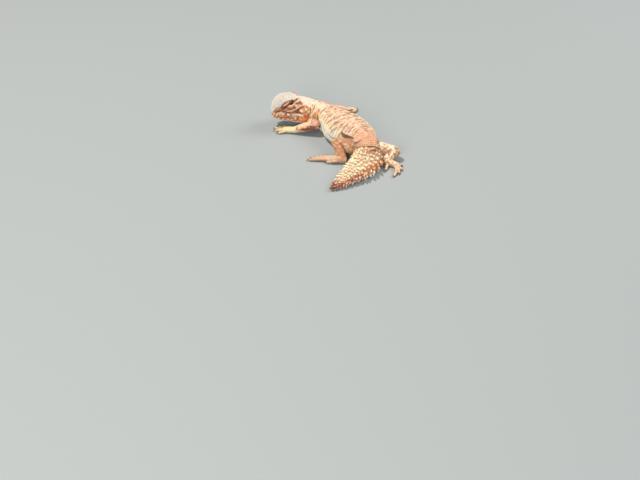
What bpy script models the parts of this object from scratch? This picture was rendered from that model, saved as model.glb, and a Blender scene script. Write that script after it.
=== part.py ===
"""A young uromastyx (spiny-tailed lizard) at rest on a flat floor, life size.

The body is one surface swept along a curved spine, from the blunt snout to the tip of the
spiny tail. It is parted by thin planar cuts into head, neck, torso and three lengths of tail.
Each leg is three swept pieces with rounded joints. The origin lies on the floor under the
middle of the torso, the head points to -X, and the floor is the plane z = 0.
Lengths inside the functions are in millimetres; make_object() turns them into metres.
"""

import math

import bmesh
import bpy
import numpy as np

METRES_PER_MM = 0.001
GAP = 0.3  # clear space between neighbouring solids
SEED = 7

# ---- spine: arc length from the snout tip, and the direction that each point faces ----
BODY_LENGTH = 153.0
SPINE_STEP = 0.25
ORIGIN_AT = 67.2  # this arc length lies over the origin
HEADING = (
    (0, 236), (25, 236), (34, 216), (43, 199), (60, 184), (80, 173),
    (98, 160), (106, 142), (114, 116), (122, 101), (153, 92),
)

# ---- cuts between the lengths of the body ----
HEAD_END = 35.0
NECK_END = 42.0
TORSO_END = 104.0
TAIL_BASE_END = 120.0
TAIL_MIDDLE_END = 136.5

# ---- body sections: arc length, half width, height of the widest line, rise above, drop below
BODY = (
    (0.0, 0.8, 14.0, 0.6, 0.8),
    (0.6, 4.4, 14.3, 3.5, 4.2),
    (1.6, 5.9, 14.8, 6.0, 6.1),
    (3.2, 6.8, 15.4, 8.4, 7.6),
    (5.5, 7.8, 15.8, 10.1, 8.8),
    (9.0, 8.9, 16.0, 11.5, 9.6),
    (14.0, 10.2, 16.0, 10.9, 10.0),
    (20.0, 11.2, 15.5, 10.1, 10.7),
    (26.0, 11.2, 14.5, 8.7, 10.9),
    (31.0, 10.7, 13.0, 8.2, 9.7),
    (35.0, 10.2, 11.8, 8.6, 9.2),
    (38.5, 10.8, 10.7, 9.7, 9.0),
    (45.0, 12.0, 9.2, 10.0, 9.4),
    (52.0, 13.6, 8.4, 10.7, 8.8),
    (60.0, 16.0, 8.0, 11.2, 8.4),
    (70.0, 17.2, 8.0, 11.4, 8.3),
    (84.0, 15.8, 8.0, 10.6, 8.3),
    (95.0, 12.8, 7.6, 9.2, 7.9),
    (103.0, 10.8, 6.8, 7.8, 7.1),
    (109.0, 10.8, 6.0, 6.8, 6.3),
    (116.0, 10.2, 5.6, 5.8, 5.8),
    (126.0, 8.4, 5.0, 4.6, 5.1),
    (137.0, 5.6, 4.0, 3.4, 4.1),
    (146.0, 3.2, 2.9, 2.2, 3.0),
    (151.5, 1.3, 1.9, 1.0, 1.6),
    (153.0, 0.3, 1.6, 0.3, 0.4),
)
UPPER_POWER = ((0, 2.2), (8, 2.6), (14, 2.7), (30, 2.3), (60, 2.15), (153, 2.2))
LOWER_POWER = ((0, 2.2), (14, 2.8), (24, 2.9), (34, 2.4), (60, 2.5), (153, 2.5))


def ease(rows, at):
    """Smooth monotone curve through (position, value) rows."""
    x, y = np.array(rows, float).T
    rise = np.diff(y) / np.diff(x)
    slope = np.concatenate([rise[:1], np.zeros(len(x) - 2), rise[-1:]])
    for i in range(1, len(x) - 1):
        if rise[i - 1] * rise[i] > 0:
            before, after = x[i] - x[i - 1], x[i + 1] - x[i]
            near, far = 2 * after + before, after + 2 * before
            slope[i] = (near + far) / (near / rise[i - 1] + far / rise[i])
    at = np.clip(np.asarray(at, float), x[0], x[-1])
    i = np.clip(np.searchsorted(x, at, side="right") - 1, 0, len(x) - 2)
    span = x[i + 1] - x[i]
    u = (at - x[i]) / span
    return (
        (2 * u**3 - 3 * u**2 + 1) * y[i]
        + (u**3 - 2 * u**2 + u) * span * slope[i]
        + (3 * u**2 - 2 * u**3) * y[i + 1]
        + (u**3 - u**2) * span * slope[i + 1]
    )


def spine_table():
    """Arc lengths, floor positions and headings along the spine."""
    s = np.arange(0, BODY_LENGTH + SPINE_STEP, SPINE_STEP)
    heading = np.radians(ease(HEADING, s))
    ahead = np.stack([np.cos(heading), np.sin(heading)], 1)
    xy = np.zeros((len(s), 2))
    xy[1:] = -np.cumsum((ahead[1:] + ahead[:-1]) * SPINE_STEP / 2, axis=0)
    return s, xy - xy[round(ORIGIN_AT / SPINE_STEP)], heading


SPINE = spine_table()


def spine_at(s):
    """Floor position, forward direction and left direction of the spine at arc length s."""
    table, xy, heading = SPINE
    angle = np.interp(s, table, heading)
    centre = np.array([np.interp(s, table, xy[:, 0]), np.interp(s, table, xy[:, 1])])
    ahead = np.array([math.cos(angle), math.sin(angle)])
    return centre, ahead, np.array([-ahead[1], ahead[0]])


def section(s, angles, grow=0.0):
    """Offsets (to the left, height) of a body section. Angle 0 is left, 90 degrees is up."""
    half, middle, rise, drop = (ease([(r[0], r[k]) for r in BODY], s) for k in range(1, 5))
    up, down = 2 / ease(UPPER_POWER, s), 2 / ease(LOWER_POWER, s)
    power = np.where(np.sin(angles) > 0, up, down)
    side = np.sign(np.cos(angles)) * np.abs(np.cos(angles)) ** power * (half + grow)
    tall = np.abs(np.sin(angles)) ** power
    height = middle + np.where(np.sin(angles) > 0, tall * (rise + grow), -tall * (drop + grow))
    return side, height


def placed(s, side, height, shift=0.0, floor=True):
    """World points of a section, moved ahead by shift and kept out of the floor."""
    centre, ahead, left = spine_at(s)
    shift = np.broadcast_to(shift, side.shape)
    flat = centre + shift[:, None] * ahead + side[:, None] * left
    return np.column_stack([flat, np.maximum(height, 0.0) if floor else height])


def cut_shifts(rings, first_cut, last_cut):
    """How far each ring moves ahead, so that half a gap is left at each planar cut."""
    shifts = np.zeros(len(rings))
    if first_cut:
        shifts[0] = -GAP / 2
    if last_cut:
        shifts[-1] = GAP / 2
    return shifts


def loft(rings, pole_first=None, pole_last=None):
    """Closed surface through rings of equal count, ended by flat caps or by a single point."""
    count = len(rings[0])
    points = [tuple(p) for ring in rings for p in ring]
    faces = [
        (r * count + k, (r + 1) * count + k, (r + 1) * count + (k + 1) % count, r * count + (k + 1) % count)
        for r in range(len(rings) - 1)
        for k in range(count)
    ]
    last = (len(rings) - 1) * count
    if pole_first is None:
        faces.append(tuple(range(count)))
    else:
        faces += [(len(points), k, (k + 1) % count) for k in range(count)]
        points.append(tuple(pole_first))
    if pole_last is None:
        faces.append(tuple(last + k for k in reversed(range(count))))
    else:
        faces += [(len(points), last + (k + 1) % count, last + k) for k in range(count)]
        points.append(tuple(pole_last))
    return points, faces


# ---------------------------------------------------------------- objects and materials

def material(name, colour, roughness):
    made = bpy.data.materials.new(name)
    made.use_nodes = True
    shader = made.node_tree.nodes["Principled BSDF"]
    shader.inputs["Base Color"].default_value = (*colour, 1.0)
    shader.inputs["Roughness"].default_value = roughness
    return made


def make_object(name, surface, finish, collection, sharp=50):
    """One object from points in millimetres, smooth except at edges sharper than sharp degrees."""
    points, faces = surface
    mesh = bpy.data.meshes.new(name)
    mesh.from_pydata([tuple(METRES_PER_MM * c for c in p) for p in points], [], faces)
    work = bmesh.new()
    work.from_mesh(mesh)
    bmesh.ops.triangulate(work, faces=[f for f in work.faces if len(f.verts) > 3])
    bmesh.ops.recalc_face_normals(work, faces=work.faces)
    work.to_mesh(mesh)
    work.free()
    mesh.materials.append(finish)
    mesh.shade_smooth()
    mesh.set_sharp_from_angle(angle=math.radians(sharp))
    made = bpy.data.objects.new(name, mesh)
    collection.objects.link(made)
    return made


def bake(target):
    """Replaces an object's mesh by its evaluated one and drops its modifiers."""
    graph = bpy.context.evaluated_depsgraph_get()
    mesh = bpy.data.meshes.new_from_object(target.evaluated_get(graph))
    target.modifiers.clear()
    target.data = mesh
    mesh.name = target.name


def keep_largest(target):
    """Leaves only the largest closed surface of a mesh."""
    work = bmesh.new()
    work.from_mesh(target.data)
    unseen, islands = set(work.verts), []
    while unseen:
        island, edge = set(), [unseen.pop()]
        while edge:
            vert = edge.pop()
            island.add(vert)
            near = {e.other_vert(vert) for e in vert.link_edges} & unseen
            unseen -= near
            edge += near
        islands.append(island)
    islands.sort(key=len)
    for island in islands[:-1]:
        bmesh.ops.delete(work, geom=list(island), context="VERTS")
    work.to_mesh(target.data)
    work.free()


def combine(target, others, operation):
    """Joins the others to the target, or cuts them from it, and removes them."""
    tools = bpy.data.collections.new("tools")
    bpy.context.scene.collection.children.link(tools)
    for other in others:
        for holder in other.users_collection:
            holder.objects.unlink(other)
        tools.objects.link(other)
    modifier = target.modifiers.new(operation.title(), "BOOLEAN")
    modifier.operation = operation
    modifier.operand_type = "COLLECTION"
    modifier.collection = tools
    bake(target)
    for other in others:
        bpy.data.objects.remove(other)
    bpy.data.collections.remove(tools)
    keep_largest(target)


# ---------------------------------------------------------------- head

MOUTH_LINE = ((0, 13.2), (3, 12.4), (8, 12.0), (14, 12.2), (22, 12.8))  # height along the head
MOUTH_CORNER = 21.8
MOUTH_DEPTH = 0.75
LIP_GAP = 0.5  # half height of the mouth's groove
UPPER_ROWS = (0, 3, 10, 15)  # rows from crown to mouth on each side, closest round the eye
UPPER_SHARES = (0, 0.27, 0.58, 1)  # share of the way from crown to mouth at these rows
LOWER_ROWS = 5
HEAD_RINGS = (
    0.5, 1.2, 2.1, 3.2, 4.5, 6.0, 7.5, 9.0, 10.3, 11.4, 12.4, 13.4, 14.4, 15.4, 16.4, 17.4,
    18.4, 19.5, 20.8, 22.2, 23.8, 25.6, 27.4, 29.2, 31.2, 33.2, HEAD_END,
)
# swellings and hollows: arc length, height, reach along, reach across, how far out, tilt
HEAD_RELIEF = (
    (16.6, 23.3, 4.2, 2.8, 0.6, 20),  # eyeball under the lids
    (16.0, 25.5, 4.4, 0.9, 0.45, 22),  # upper lid and brow
    (17.2, 22.8, 3.4, 0.9, 0.6, 27),  # lower lid
    (8.6, 22.6, 2.6, 1.0, 0.5, 50),  # brow, front
    (4.5, 20.6, 2.6, 1.3, 0.3, 30),  # edge of the snout
    (3.8, 17.6, 1.7, 1.5, 0.45, 0),  # nostril
    (10.4, 20.2, 3.4, 1.6, -0.7, 38),  # hollow before the eye
    (19.0, 20.4, 3.6, 1.2, 0.35, 25),  # fold under the eye
    (23.0, 21.4, 3.4, 2.4, -0.5, 20),  # temple
    (25.0, 12.8, 5.0, 3.4, 0.9, 0),  # jaw muscle
    (30.6, 15.0, 1.5, 3.6, 0.4, 0),  # rim before the ear
)
LIP_SWELL = 0.35
EYE_AT, EYE_HEIGHT, EYE_SIDE, EYE_RADIUS = 16.6, 22.9, 7.0, 2.6
GAZE_UP = math.radians(35)  # the opening faces outwards and this much upwards
LID_OPENING = (3.0, 2.4, 0.85)  # half length, half depth, half height
LID_TILT = math.radians(27)  # the opening rises towards the back
NOSTRIL_AT, NOSTRIL_HEIGHT, NOSTRIL_RADIUS = 3.9, 17.6, 0.62
EAR_AT, EAR_HEIGHT, EAR_SIZE = 32.4, 14.2, (1.1, 1.7, 2.8)  # half length, depth, height


def head_angles(s):
    """Section angles on the left side, crown to chin, with three rows that follow the mouth."""
    middle = float(ease([(r[0], r[2]) for r in BODY], s))
    drop = float(ease([(r[0], r[4]) for r in BODY], s))
    half = float(ease([(r[0], r[1]) for r in BODY], s))
    deep = np.clip((middle - ease(MOUTH_LINE, s)) / drop, 0.0, 0.9)
    mouth = -math.asin(deep ** (ease(LOWER_POWER, s) / 2))
    lip = min(LIP_GAP / half, math.radians(14))
    share = np.interp(np.arange(UPPER_ROWS[-1] + 1), UPPER_ROWS, UPPER_SHARES)
    upper = math.pi / 2 + share * (mouth + lip - math.pi / 2)
    lower = np.linspace(mouth - lip, -math.pi / 2, LOWER_ROWS + 1)
    return upper, mouth, lower


def head_ring(s, shift):
    """A ring of the head with its swellings, hollows, lips and mouth groove."""
    upper, mouth, lower = head_angles(s)
    left = np.concatenate([upper, [mouth], lower])
    side, height = section(s, left)
    out = np.zeros(len(left))
    flank = np.clip((np.abs(side) - 1.5) / 3.5, 0, 1)
    for at, level, along, across, rise, tilt in HEAD_RELIEF:
        turn = math.radians(tilt)
        far = (s - at) * math.cos(turn) + (height - level) * math.sin(turn)
        off = (height - level) * math.cos(turn) - (s - at) * math.sin(turn)
        out += rise * np.exp(-((far / along) ** 2) - (off / across) ** 2) * flank
    row = UPPER_ROWS[-1] + 1
    open_mouth = float(np.clip((MOUTH_CORNER - s) / 1.5, 0, 1)) * min(1.0, s / 1.2)
    out[row] -= MOUTH_DEPTH * open_mouth
    out[[row - 1, row - 2, row + 1]] += LIP_SWELL * open_mouth
    middle = float(ease([(r[0], r[2]) for r in BODY], s))
    reach = np.hypot(side, height - middle) + 1e-6
    side, height = side * (1 + out / reach), height + (height - middle) * out / reach
    side[[0, -1]] = 0.0
    mirrored = slice(-2, 0, -1)
    return placed(s, np.concatenate([side, -side[mirrored]]), np.concatenate([height, height[mirrored]]), shift)


def head_point(s, side, height):
    centre, _, left = spine_at(s)
    return np.array([*(centre + side * left), height])


def ball(name, centre, sizes, turn, finish, collection, segments=20, rings=12, tilt=0.0):
    """An ellipsoid whose length lies along the turn direction and rises by tilt."""
    work = bmesh.new()
    bmesh.ops.create_uvsphere(work, u_segments=segments, v_segments=rings, radius=1.0)
    points = np.array([v.co for v in work.verts]) * np.array(sizes)
    faces = [tuple(v.index for v in f.verts) for f in work.faces]
    work.free()
    raised = np.column_stack([
        points[:, 0] * math.cos(tilt) - points[:, 2] * math.sin(tilt),
        points[:, 1],
        points[:, 0] * math.sin(tilt) + points[:, 2] * math.cos(tilt),
    ])
    ahead = np.array([math.cos(turn), math.sin(turn)])
    flat = raised[:, :1] * ahead + raised[:, 1:2] * np.array([-ahead[1], ahead[0]])
    return make_object(name, (np.column_stack([flat, raised[:, 2]]) + centre, faces), finish, collection)


def build_head(skin, eye, parts):
    rings = HEAD_RINGS
    shifts = cut_shifts(rings, False, True)
    pole = head_point(0.0, 0.0, float(ease(MOUTH_LINE, 0)))
    head = make_object("head", loft([head_ring(s, d) for s, d in zip(rings, shifts)], pole_first=pole), skin, parts)
    heading = np.radians(ease(HEADING, 14))
    cutters = []
    for side in (1, -1):
        label = "left" if side == 1 else "right"
        eye_centre = head_point(EYE_AT, side * EYE_SIDE, EYE_HEIGHT)
        socket = EYE_RADIUS + GAP
        cutters.append(ball("socket", eye_centre, (socket,) * 3, heading, skin, parts, 14, 8))
        reach, rise = EYE_RADIUS * math.cos(GAZE_UP), EYE_RADIUS * math.sin(GAZE_UP)
        lids = head_point(EYE_AT, side * (EYE_SIDE + reach), EYE_HEIGHT + rise)
        cutters.append(ball("lids", lids, LID_OPENING, heading, skin, parts, 14, 6, -LID_TILT))
        half, _ = section(NOSTRIL_AT, np.array([math.radians(20)]))
        nostril = head_point(NOSTRIL_AT, side * (float(half[0]) + 0.6), NOSTRIL_HEIGHT)
        cutters.append(ball("nostril", nostril, (NOSTRIL_RADIUS, 1.5, NOSTRIL_RADIUS), heading, skin, parts, 8, 5))
        width, _ = section(EAR_AT, np.array([0.0]))
        ear = head_point(EAR_AT, side * float(width[0]), EAR_HEIGHT)
        cutters.append(ball("ear", ear, EAR_SIZE, heading, skin, parts, 12, 6))
        ball(f"eye_{label}", eye_centre, (EYE_RADIUS,) * 3, heading, eye, parts, 14, 8)
    combine(head, cutters, "DIFFERENCE")


# ---------------------------------------------------------------- neck and torso

TRUNK_POINTS = 30
NECK_FOLDS = ((35.0, 0.0), (36.3, 0.4), (37.5, -0.35), (38.9, 0.5), (40.0, -0.3), (41.0, 0.25), (42.0, 0.0))
FOLD_LENGTH = 3.2  # distance between two skin folds of the flank
FOLD_DEPTH = 0.26


# swellings and hollows: arc length, angle round from the left side, reach along, reach round, how far out
TRUNK_RELIEF = (
    (88.0, -5, 7.5, 38, -3.0),  # hollow that the left thigh lies in
    (91.0, 185, 6.0, 35, -1.6),  # hollow before the right thigh
    (44.5, -8, 4.5, 35, -1.6),  # left armpit
    (51.0, -10, 4.0, 30, -1.8),  # hollow behind the left elbow
    (87.0, 44, 6.5, 11, -1.2),  # crease over the left thigh
    (46.0, 188, 4.5, 35, -1.0),  # right armpit
    (96.0, 52, 5.0, 18, 0.8),  # left hip
    (96.0, 128, 5.0, 18, 0.8),  # right hip
    (44.0, 48, 4.5, 20, 0.6),  # left shoulder blade
    (44.0, 132, 4.5, 20, 0.6),  # right shoulder blade
)


def folded_ring(s, fold, shift, grow=0.0, floor=True):
    """A ring of neck or torso, pushed out by fold on the flanks and by less on the back."""
    angles = np.linspace(0, 2 * math.pi, TRUNK_POINTS, endpoint=False)
    out = grow + fold * (0.35 + 0.65 * np.abs(np.cos(angles)))
    for at, toward, along, round_by, rise in TRUNK_RELIEF:
        off = (np.degrees(angles) - toward + 180) % 360 - 180
        out += rise * np.exp(-(((s - at) / along) ** 2) - (off / round_by) ** 2)
    side, height = section(s, angles, out)
    return placed(s, side, height, shift, floor)


def torso_folds():
    """Arc length and fold of each ring of the torso: crests and troughs in turn."""
    draw = np.random.default_rng(SEED)
    count = round(2 * (TORSO_END - NECK_END) / FOLD_LENGTH)
    s = np.linspace(NECK_END, TORSO_END, count + 1)
    fade = np.clip(np.minimum(s - NECK_END, TORSO_END - s) / 6, 0, 1)
    crest = np.where(np.arange(count + 1) % 2, 1.0, -1.0)
    return list(zip(s, crest * FOLD_DEPTH * fade * draw.uniform(0.6, 1.2, count + 1)))


def trunk_length(name, rows, skin, parts):
    shifts = cut_shifts(rows, True, True)
    rings = [folded_ring(s, fold, shift) for (s, fold), shift in zip(rows, shifts)]
    return make_object(name, loft(rings), skin, parts)


# ---------------------------------------------------------------- tail

# name, start, end, spines round each whorl, whorls
TAIL_LENGTHS = (
    ("tail_base", TORSO_END, TAIL_BASE_END, 22, 5),
    ("tail_middle", TAIL_BASE_END, TAIL_MIDDLE_END, 18, 6),
    ("tail_tip", TAIL_MIDDLE_END, BODY_LENGTH, 12, 7),
)
SPINE_HEIGHT = ((104, 1.2), (112, 1.9), (130, 1.8), (145, 1.2), (153, 0.4))
SPINE_LEAN = 0.55  # how far a spine's tip reaches past its own whorl, as a share of its height


def whorl_rings(start, end, spines, draw):
    """Three rings of one whorl: its foot, its keels, and the rear edge with the spines."""
    angles = np.linspace(0, 2 * math.pi, 2 * spines, endpoint=False) - math.pi / (2 * spines)
    is_spine = np.arange(2 * spines) % 2 == 1
    jitter = draw.uniform(-0.18, 0.18, 2 * spines) * math.pi / spines
    angles = angles + np.where(is_spine, jitter, 0.0)
    below = np.clip((-np.sin(angles) - 0.25) / 0.45, 0, 1)
    tall = float(ease(SPINE_HEIGHT, (start + end) / 2)) * (1 - below) * (0.8 + 0.2 * np.abs(np.cos(angles)))
    tall = tall * draw.uniform(0.82, 1.18, 2 * spines)
    span = end - start
    rings = []
    for at, spine_rise, valley_rise, lean in ((0.06, 0, 0, 0), (0.55, 0.42, 0.12, 0), (0.9, 1.0, 0.2, SPINE_LEAN)):
        rise = np.where(is_spine, spine_rise, valley_rise) * tall
        s = start + at * span
        side, height = section(s, angles, rise)
        back = np.where(is_spine, lean * tall, 0.0)
        rings.append(placed(s, side, height, -back))
    return rings


def build_tail(skin, parts):
    draw = np.random.default_rng(SEED)
    for name, start, end, spines, whorls in TAIL_LENGTHS:
        angles = np.linspace(0, 2 * math.pi, 2 * spines, endpoint=False) - math.pi / (2 * spines)
        edges = start + GAP / 2 + (end - start - GAP) * np.linspace(0, 1, whorls + 1) ** 0.92
        rings = []
        side, height = section(start, angles)
        rings.append(placed(start, side, height, -GAP / 2))
        for first, last in zip(edges[:-1], edges[1:]):
            rings += whorl_rings(first, last, spines, draw)
        if end < BODY_LENGTH:
            side, height = section(end, angles)
            rings.append(placed(end, side, height, GAP / 2))
            surface = loft(rings[0:1] + rings[2:])
        else:
            tip = head_point(BODY_LENGTH, 0.0, 1.2)
            surface = loft(rings[0:1] + rings[2:], pole_last=tip)
        make_object(name, surface, skin, parts, sharp=35)


# ---------------------------------------------------------------- legs

LEG_POINTS = 12
# joints of each leg: root inside the torso, elbow or knee, wrist or ankle, ball of the foot
JOINTS = {
    "arm_left": ((-29.5, -12.5, 7.8), (-18.9, -14.8, 8.8), (-30.6, -27.2, 3.0), (-37.5, -31.8, 1.9)),
    "arm_right": ((-31.0, 2.0, 9.0), (-32.8, 14.4, 5.6), (-27.6, 24.6, 3.0), (-27.8, 29.4, 1.9)),
    "leg_left": ((29.5, -8.5, 8.2), (12.7, -18.7, 9.2), (26.0, -23.2, 3.2), (16.5, -30.5, 2.1)),
    "leg_right": ((31.5, 0.0, 7.5), (46.0, 11.0, 6.6), (46.4, 1.4, 3.2), (53.6, 4.0, 2.1)),
}
PIECES = {"arm": ("upper_arm", "forearm", "hand"), "leg": ("thigh", "shin", "foot")}
# half thickness at the start, middle and end of the upper piece, the lower piece and the sole
GIRTHS = {
    "arm": ((4.4, 4.6, 3.9), (3.9, 3.6, 2.6), (2.6, 3.0, 2.6)),
    "leg": ((5.8, 5.4, 4.3), (4.2, 3.8, 2.7), (2.9, 3.0, 2.6)),
}
SOLE_FLATNESS = 0.78
# toes, inner to outer: place along the sole, place across it, spread in degrees, length, bend.
# The right hind foot lies turned back, and its outer toes curl towards the tail.
TOES = {
    "arm_left": ((0.75, -2.0, -34, 6.0, 8), (0.9, -1.2, -15, 7.4, 5), (1.0, 0.0, -1, 8.0, 0),
                 (0.9, 1.2, 13, 7.6, -5), (0.75, 2.0, 34, 6.0, -8)),
    "arm_right": ((0.75, -1.6, -24, 3.4, 8), (0.9, -1.0, -12, 4.6, 5), (1.0, 0.0, -1, 5.2, 0),
                  (0.9, 1.0, 11, 4.8, -5), (0.75, 1.6, 24, 3.6, -8)),
    "leg_left": ((0.85, -2.0, -7, 8.0, 8), (0.95, -1.2, 1, 10.0, 6), (1.0, -0.3, 6, 12.0, 3),
                 (1.0, 1.0, 12, 13.5, 0), (0.4, 2.3, 12, 6.5, -4)),
    "leg_right": ((0.8, -2.0, -10, 5.0, 8), (0.95, -1.2, 14, 7.4, 28), (1.0, -0.3, 32, 10.0, 50),
                  (1.0, 0.8, 48, 12.5, 65), (0.3, 1.8, 64, 6.0, 18)),
}
TOE_RADIUS = {"arm": 1.15, "leg": 1.25}
CLAW_LENGTH = {"arm": 2.2, "leg": 2.4}
CLAW_RADIUS = 0.72
CLAW_TIP = 0.12
TOE_POINTS = 8


def tube(path, wide, tall, count, dome_first=True, dome_last=True, grow=0.0, floor=True):
    """Rings of a tube with an elliptic section round a path, with rounded or flat ends."""
    path = np.array(path, float)
    ahead = np.gradient(path, axis=0)
    ahead /= np.linalg.norm(ahead, axis=1)[:, None]
    rows = [(path[i], ahead[i], wide[i] + grow, tall[i] + grow) for i in range(len(path))]
    for end, use, sign in ((0, dome_first, -1), (-1, dome_last, 1)):
        if use:
            centre, way, w, t = rows[end]
            cap = [
                (centre + sign * way * t * math.sin(a), way, w * math.cos(a), t * math.cos(a))
                for a in np.radians((32, 62))
            ]
            rows = cap[::-1] + rows if end == 0 else rows + cap
    angles = np.linspace(0, 2 * math.pi, count, endpoint=False)
    rings = []
    for centre, way, w, t in rows:
        side = np.cross((0, 0, 1), way)
        side /= np.linalg.norm(side)
        over = np.cross(way, side)
        ring = centre + np.outer(np.cos(angles) * w, side) + np.outer(np.sin(angles) * t, over)
        rings.append(ring)
    poles = [None, None]
    if dome_first:
        poles[0] = path[0] - ahead[0] * (tall[0] + grow)
    if dome_last:
        poles[1] = path[-1] + ahead[-1] * (tall[-1] + grow)
    if floor:
        for ring in rings:
            ring[:, 2] = np.maximum(ring[:, 2], 0.0)
        for pole in poles:
            if pole is not None:
                pole[2] = max(pole[2], 0.0)
    return loft(rings, *poles)


def straight(first, last, steps):
    return np.linspace(np.array(first, float), np.array(last, float), steps)


def limb_piece(first, last, girth, flat, grow=0.0, floor=True):
    """A swelling limb piece from joint to joint, with rounded ends."""
    steps = 7
    path = straight(first, last, steps)
    wide = ease(((0, girth[0]), (0.5, girth[1]), (1, girth[2])), np.linspace(0, 1, steps))
    return tube(path, wide, wide * flat, LEG_POINTS, grow=grow, floor=floor)


def toe_path(root, angle, bend, length, radius):
    """Centre line of a toe: it leaves the sole, arches a little and comes down to the floor."""
    steps = 6
    share = np.linspace(0, 1, steps)
    turn = angle + bend * (share - 0.3)
    flat = np.zeros((steps, 2))
    middle = (turn[1:] + turn[:-1]) / 2
    stride = length / (steps - 1)
    flat[1:] = np.cumsum(stride * np.column_stack([np.cos(middle), np.sin(middle)]), axis=0)
    height = np.interp(share, (0, 0.45, 1), (root[2], radius * 1.25, radius * 0.85))
    return np.column_stack([root[:2] + flat, height])


def build_leg(key, skin, horn, parts, body_clearances):
    """Upper piece, lower piece and foot of one leg, each cut clear of what it grows from."""
    kind, side_name = key.split("_")
    root, bend, ankle, ball_of_foot = (np.array(p) for p in JOINTS[key])
    girths = GIRTHS[kind]
    names = [f"{piece}_{side_name}" for piece in PIECES[kind]]
    ends = ((root, bend), (bend, ankle), (ankle, ball_of_foot))
    flats = (1.0, 1.0, SOLE_FLATNESS)
    made = [
        make_object(name, limb_piece(*end, girth, flat), skin, parts)
        for name, end, girth, flat in zip(names, ends, girths, flats)
    ]
    for i in (0, 1):
        clearance = make_object("clear", limb_piece(*ends[i + 1], girths[i + 1], flats[i + 1], GAP, False), skin, parts)
        combine(made[i], [clearance], "DIFFERENCE")
    mirror = 1 if side_name == "left" else -1
    ahead = (ball_of_foot - ankle)[:2]
    heading = math.atan2(ahead[1], ahead[0])
    across = np.array([-math.sin(heading), math.cos(heading)]) * mirror
    radius, toes = TOE_RADIUS[kind], []
    for number, (along, aside, spread, length, curl) in enumerate(TOES[key], start=1):
        start = ankle + along * (ball_of_foot - ankle)
        start[:2] += aside * across
        start[2] = max(start[2] * 0.8, radius)
        path = toe_path(start, heading + mirror * math.radians(spread), mirror * math.radians(curl), length, radius)
        wide = np.interp(np.linspace(0, 1, len(path)), (0, 0.5, 1), (1.1, 1.0, 0.78)) * radius
        toes.append(make_object("toe", tube(path, wide, wide * 0.9, TOE_POINTS, True, False), skin, parts))
        way = (path[-1] - path[-2]) * (1, 1, 0)
        way /= np.linalg.norm(way)
        share = np.linspace(0, 1, 4)
        claw = path[-1] + np.outer(GAP + share * CLAW_LENGTH[kind], way)
        claw[:, 2] += 0.35 * np.sin(share * math.pi) - (path[-1][2] - 0.35) * share**2
        thick = np.interp(share, (0, 1), (CLAW_RADIUS, CLAW_TIP))
        claw_surface = tube(claw, thick * 0.8, thick, TOE_POINTS - 2, False, False)
        make_object(f"claw_{names[2]}_{number}", claw_surface, horn, parts)
    combine(made[2], toes, "UNION")
    for piece in made:
        body = [make_object("clear", surface, skin, parts) for surface in body_clearances]
        combine(piece, body, "DIFFERENCE")


def build():
    for old in list(bpy.data.objects):
        bpy.data.objects.remove(old)
    parts = bpy.data.collections.new("uromastyx")
    bpy.context.scene.collection.children.link(parts)
    eye = material("eye", (0.05, 0.03, 0.02), 0.15)
    horn = material("claw", (0.45, 0.35, 0.27), 0.4)
    limb = material("limb_skin", (0.72, 0.42, 0.28), 0.6)

    build_head(material("head_skin", (0.72, 0.44, 0.29), 0.6), eye, parts)
    trunk_length("neck", NECK_FOLDS, material("neck_skin", (0.74, 0.45, 0.26), 0.6), parts)
    folds = torso_folds()
    trunk_length("torso", folds, material("torso_skin", (0.72, 0.41, 0.24), 0.6), parts)
    build_tail(material("tail_skin", (0.73, 0.49, 0.30), 0.55), parts)

    trunk_rows = [(HEAD_END - 7, 0.6), (HEAD_END - 3, 0.3)] + list(NECK_FOLDS[:-1]) + folds
    trunk = loft([folded_ring(s, fold, 0.0, GAP, False) for s, fold in trunk_rows])
    tail_rows = np.linspace(TORSO_END, BODY_LENGTH - 10, 14)
    around = np.linspace(0, 2 * math.pi, TRUNK_POINTS, endpoint=False)
    reach = 1.2 * max(height for _, height in SPINE_HEIGHT) + GAP
    tail = loft([placed(s, *section(s, around, reach), 0.0, False) for s in tail_rows])
    for key in JOINTS:
        build_leg(key, limb, horn, parts, (trunk, tail))


build()
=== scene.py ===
"""The looks of a young uromastyx that lies on a flat floor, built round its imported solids.

One skin stands for every node of flesh. Over it lie the scales of back, belly, head and legs,
the spiny whorls of the tail, the lids, the eyes and the claws.
Lengths are in millimetres until a mesh is made, and meshes are in metres.
"""

import math

import bmesh
import bpy
import numpy as np
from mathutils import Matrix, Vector
from mathutils.bvhtree import BVHTree
from mathutils.kdtree import KDTree


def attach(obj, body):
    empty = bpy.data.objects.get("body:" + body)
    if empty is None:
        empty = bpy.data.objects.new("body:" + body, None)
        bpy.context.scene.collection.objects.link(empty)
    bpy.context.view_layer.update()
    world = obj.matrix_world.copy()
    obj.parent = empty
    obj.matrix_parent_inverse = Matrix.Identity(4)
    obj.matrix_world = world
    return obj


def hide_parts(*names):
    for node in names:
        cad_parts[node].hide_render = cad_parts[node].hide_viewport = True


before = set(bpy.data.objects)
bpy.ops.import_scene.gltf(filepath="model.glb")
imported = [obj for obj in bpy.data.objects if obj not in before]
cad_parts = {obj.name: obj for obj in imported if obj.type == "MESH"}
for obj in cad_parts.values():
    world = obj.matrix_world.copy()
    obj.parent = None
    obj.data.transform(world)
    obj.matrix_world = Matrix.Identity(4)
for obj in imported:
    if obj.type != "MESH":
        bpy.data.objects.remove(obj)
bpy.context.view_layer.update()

# ------------------------------------------------------------------ the body's line and sections
# The trunk is one sweep from the blunt snout to the tip of the tail, along a line that curves
# over the floor. Its sections are flattened ovals, widest at the belly's edge.

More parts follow.
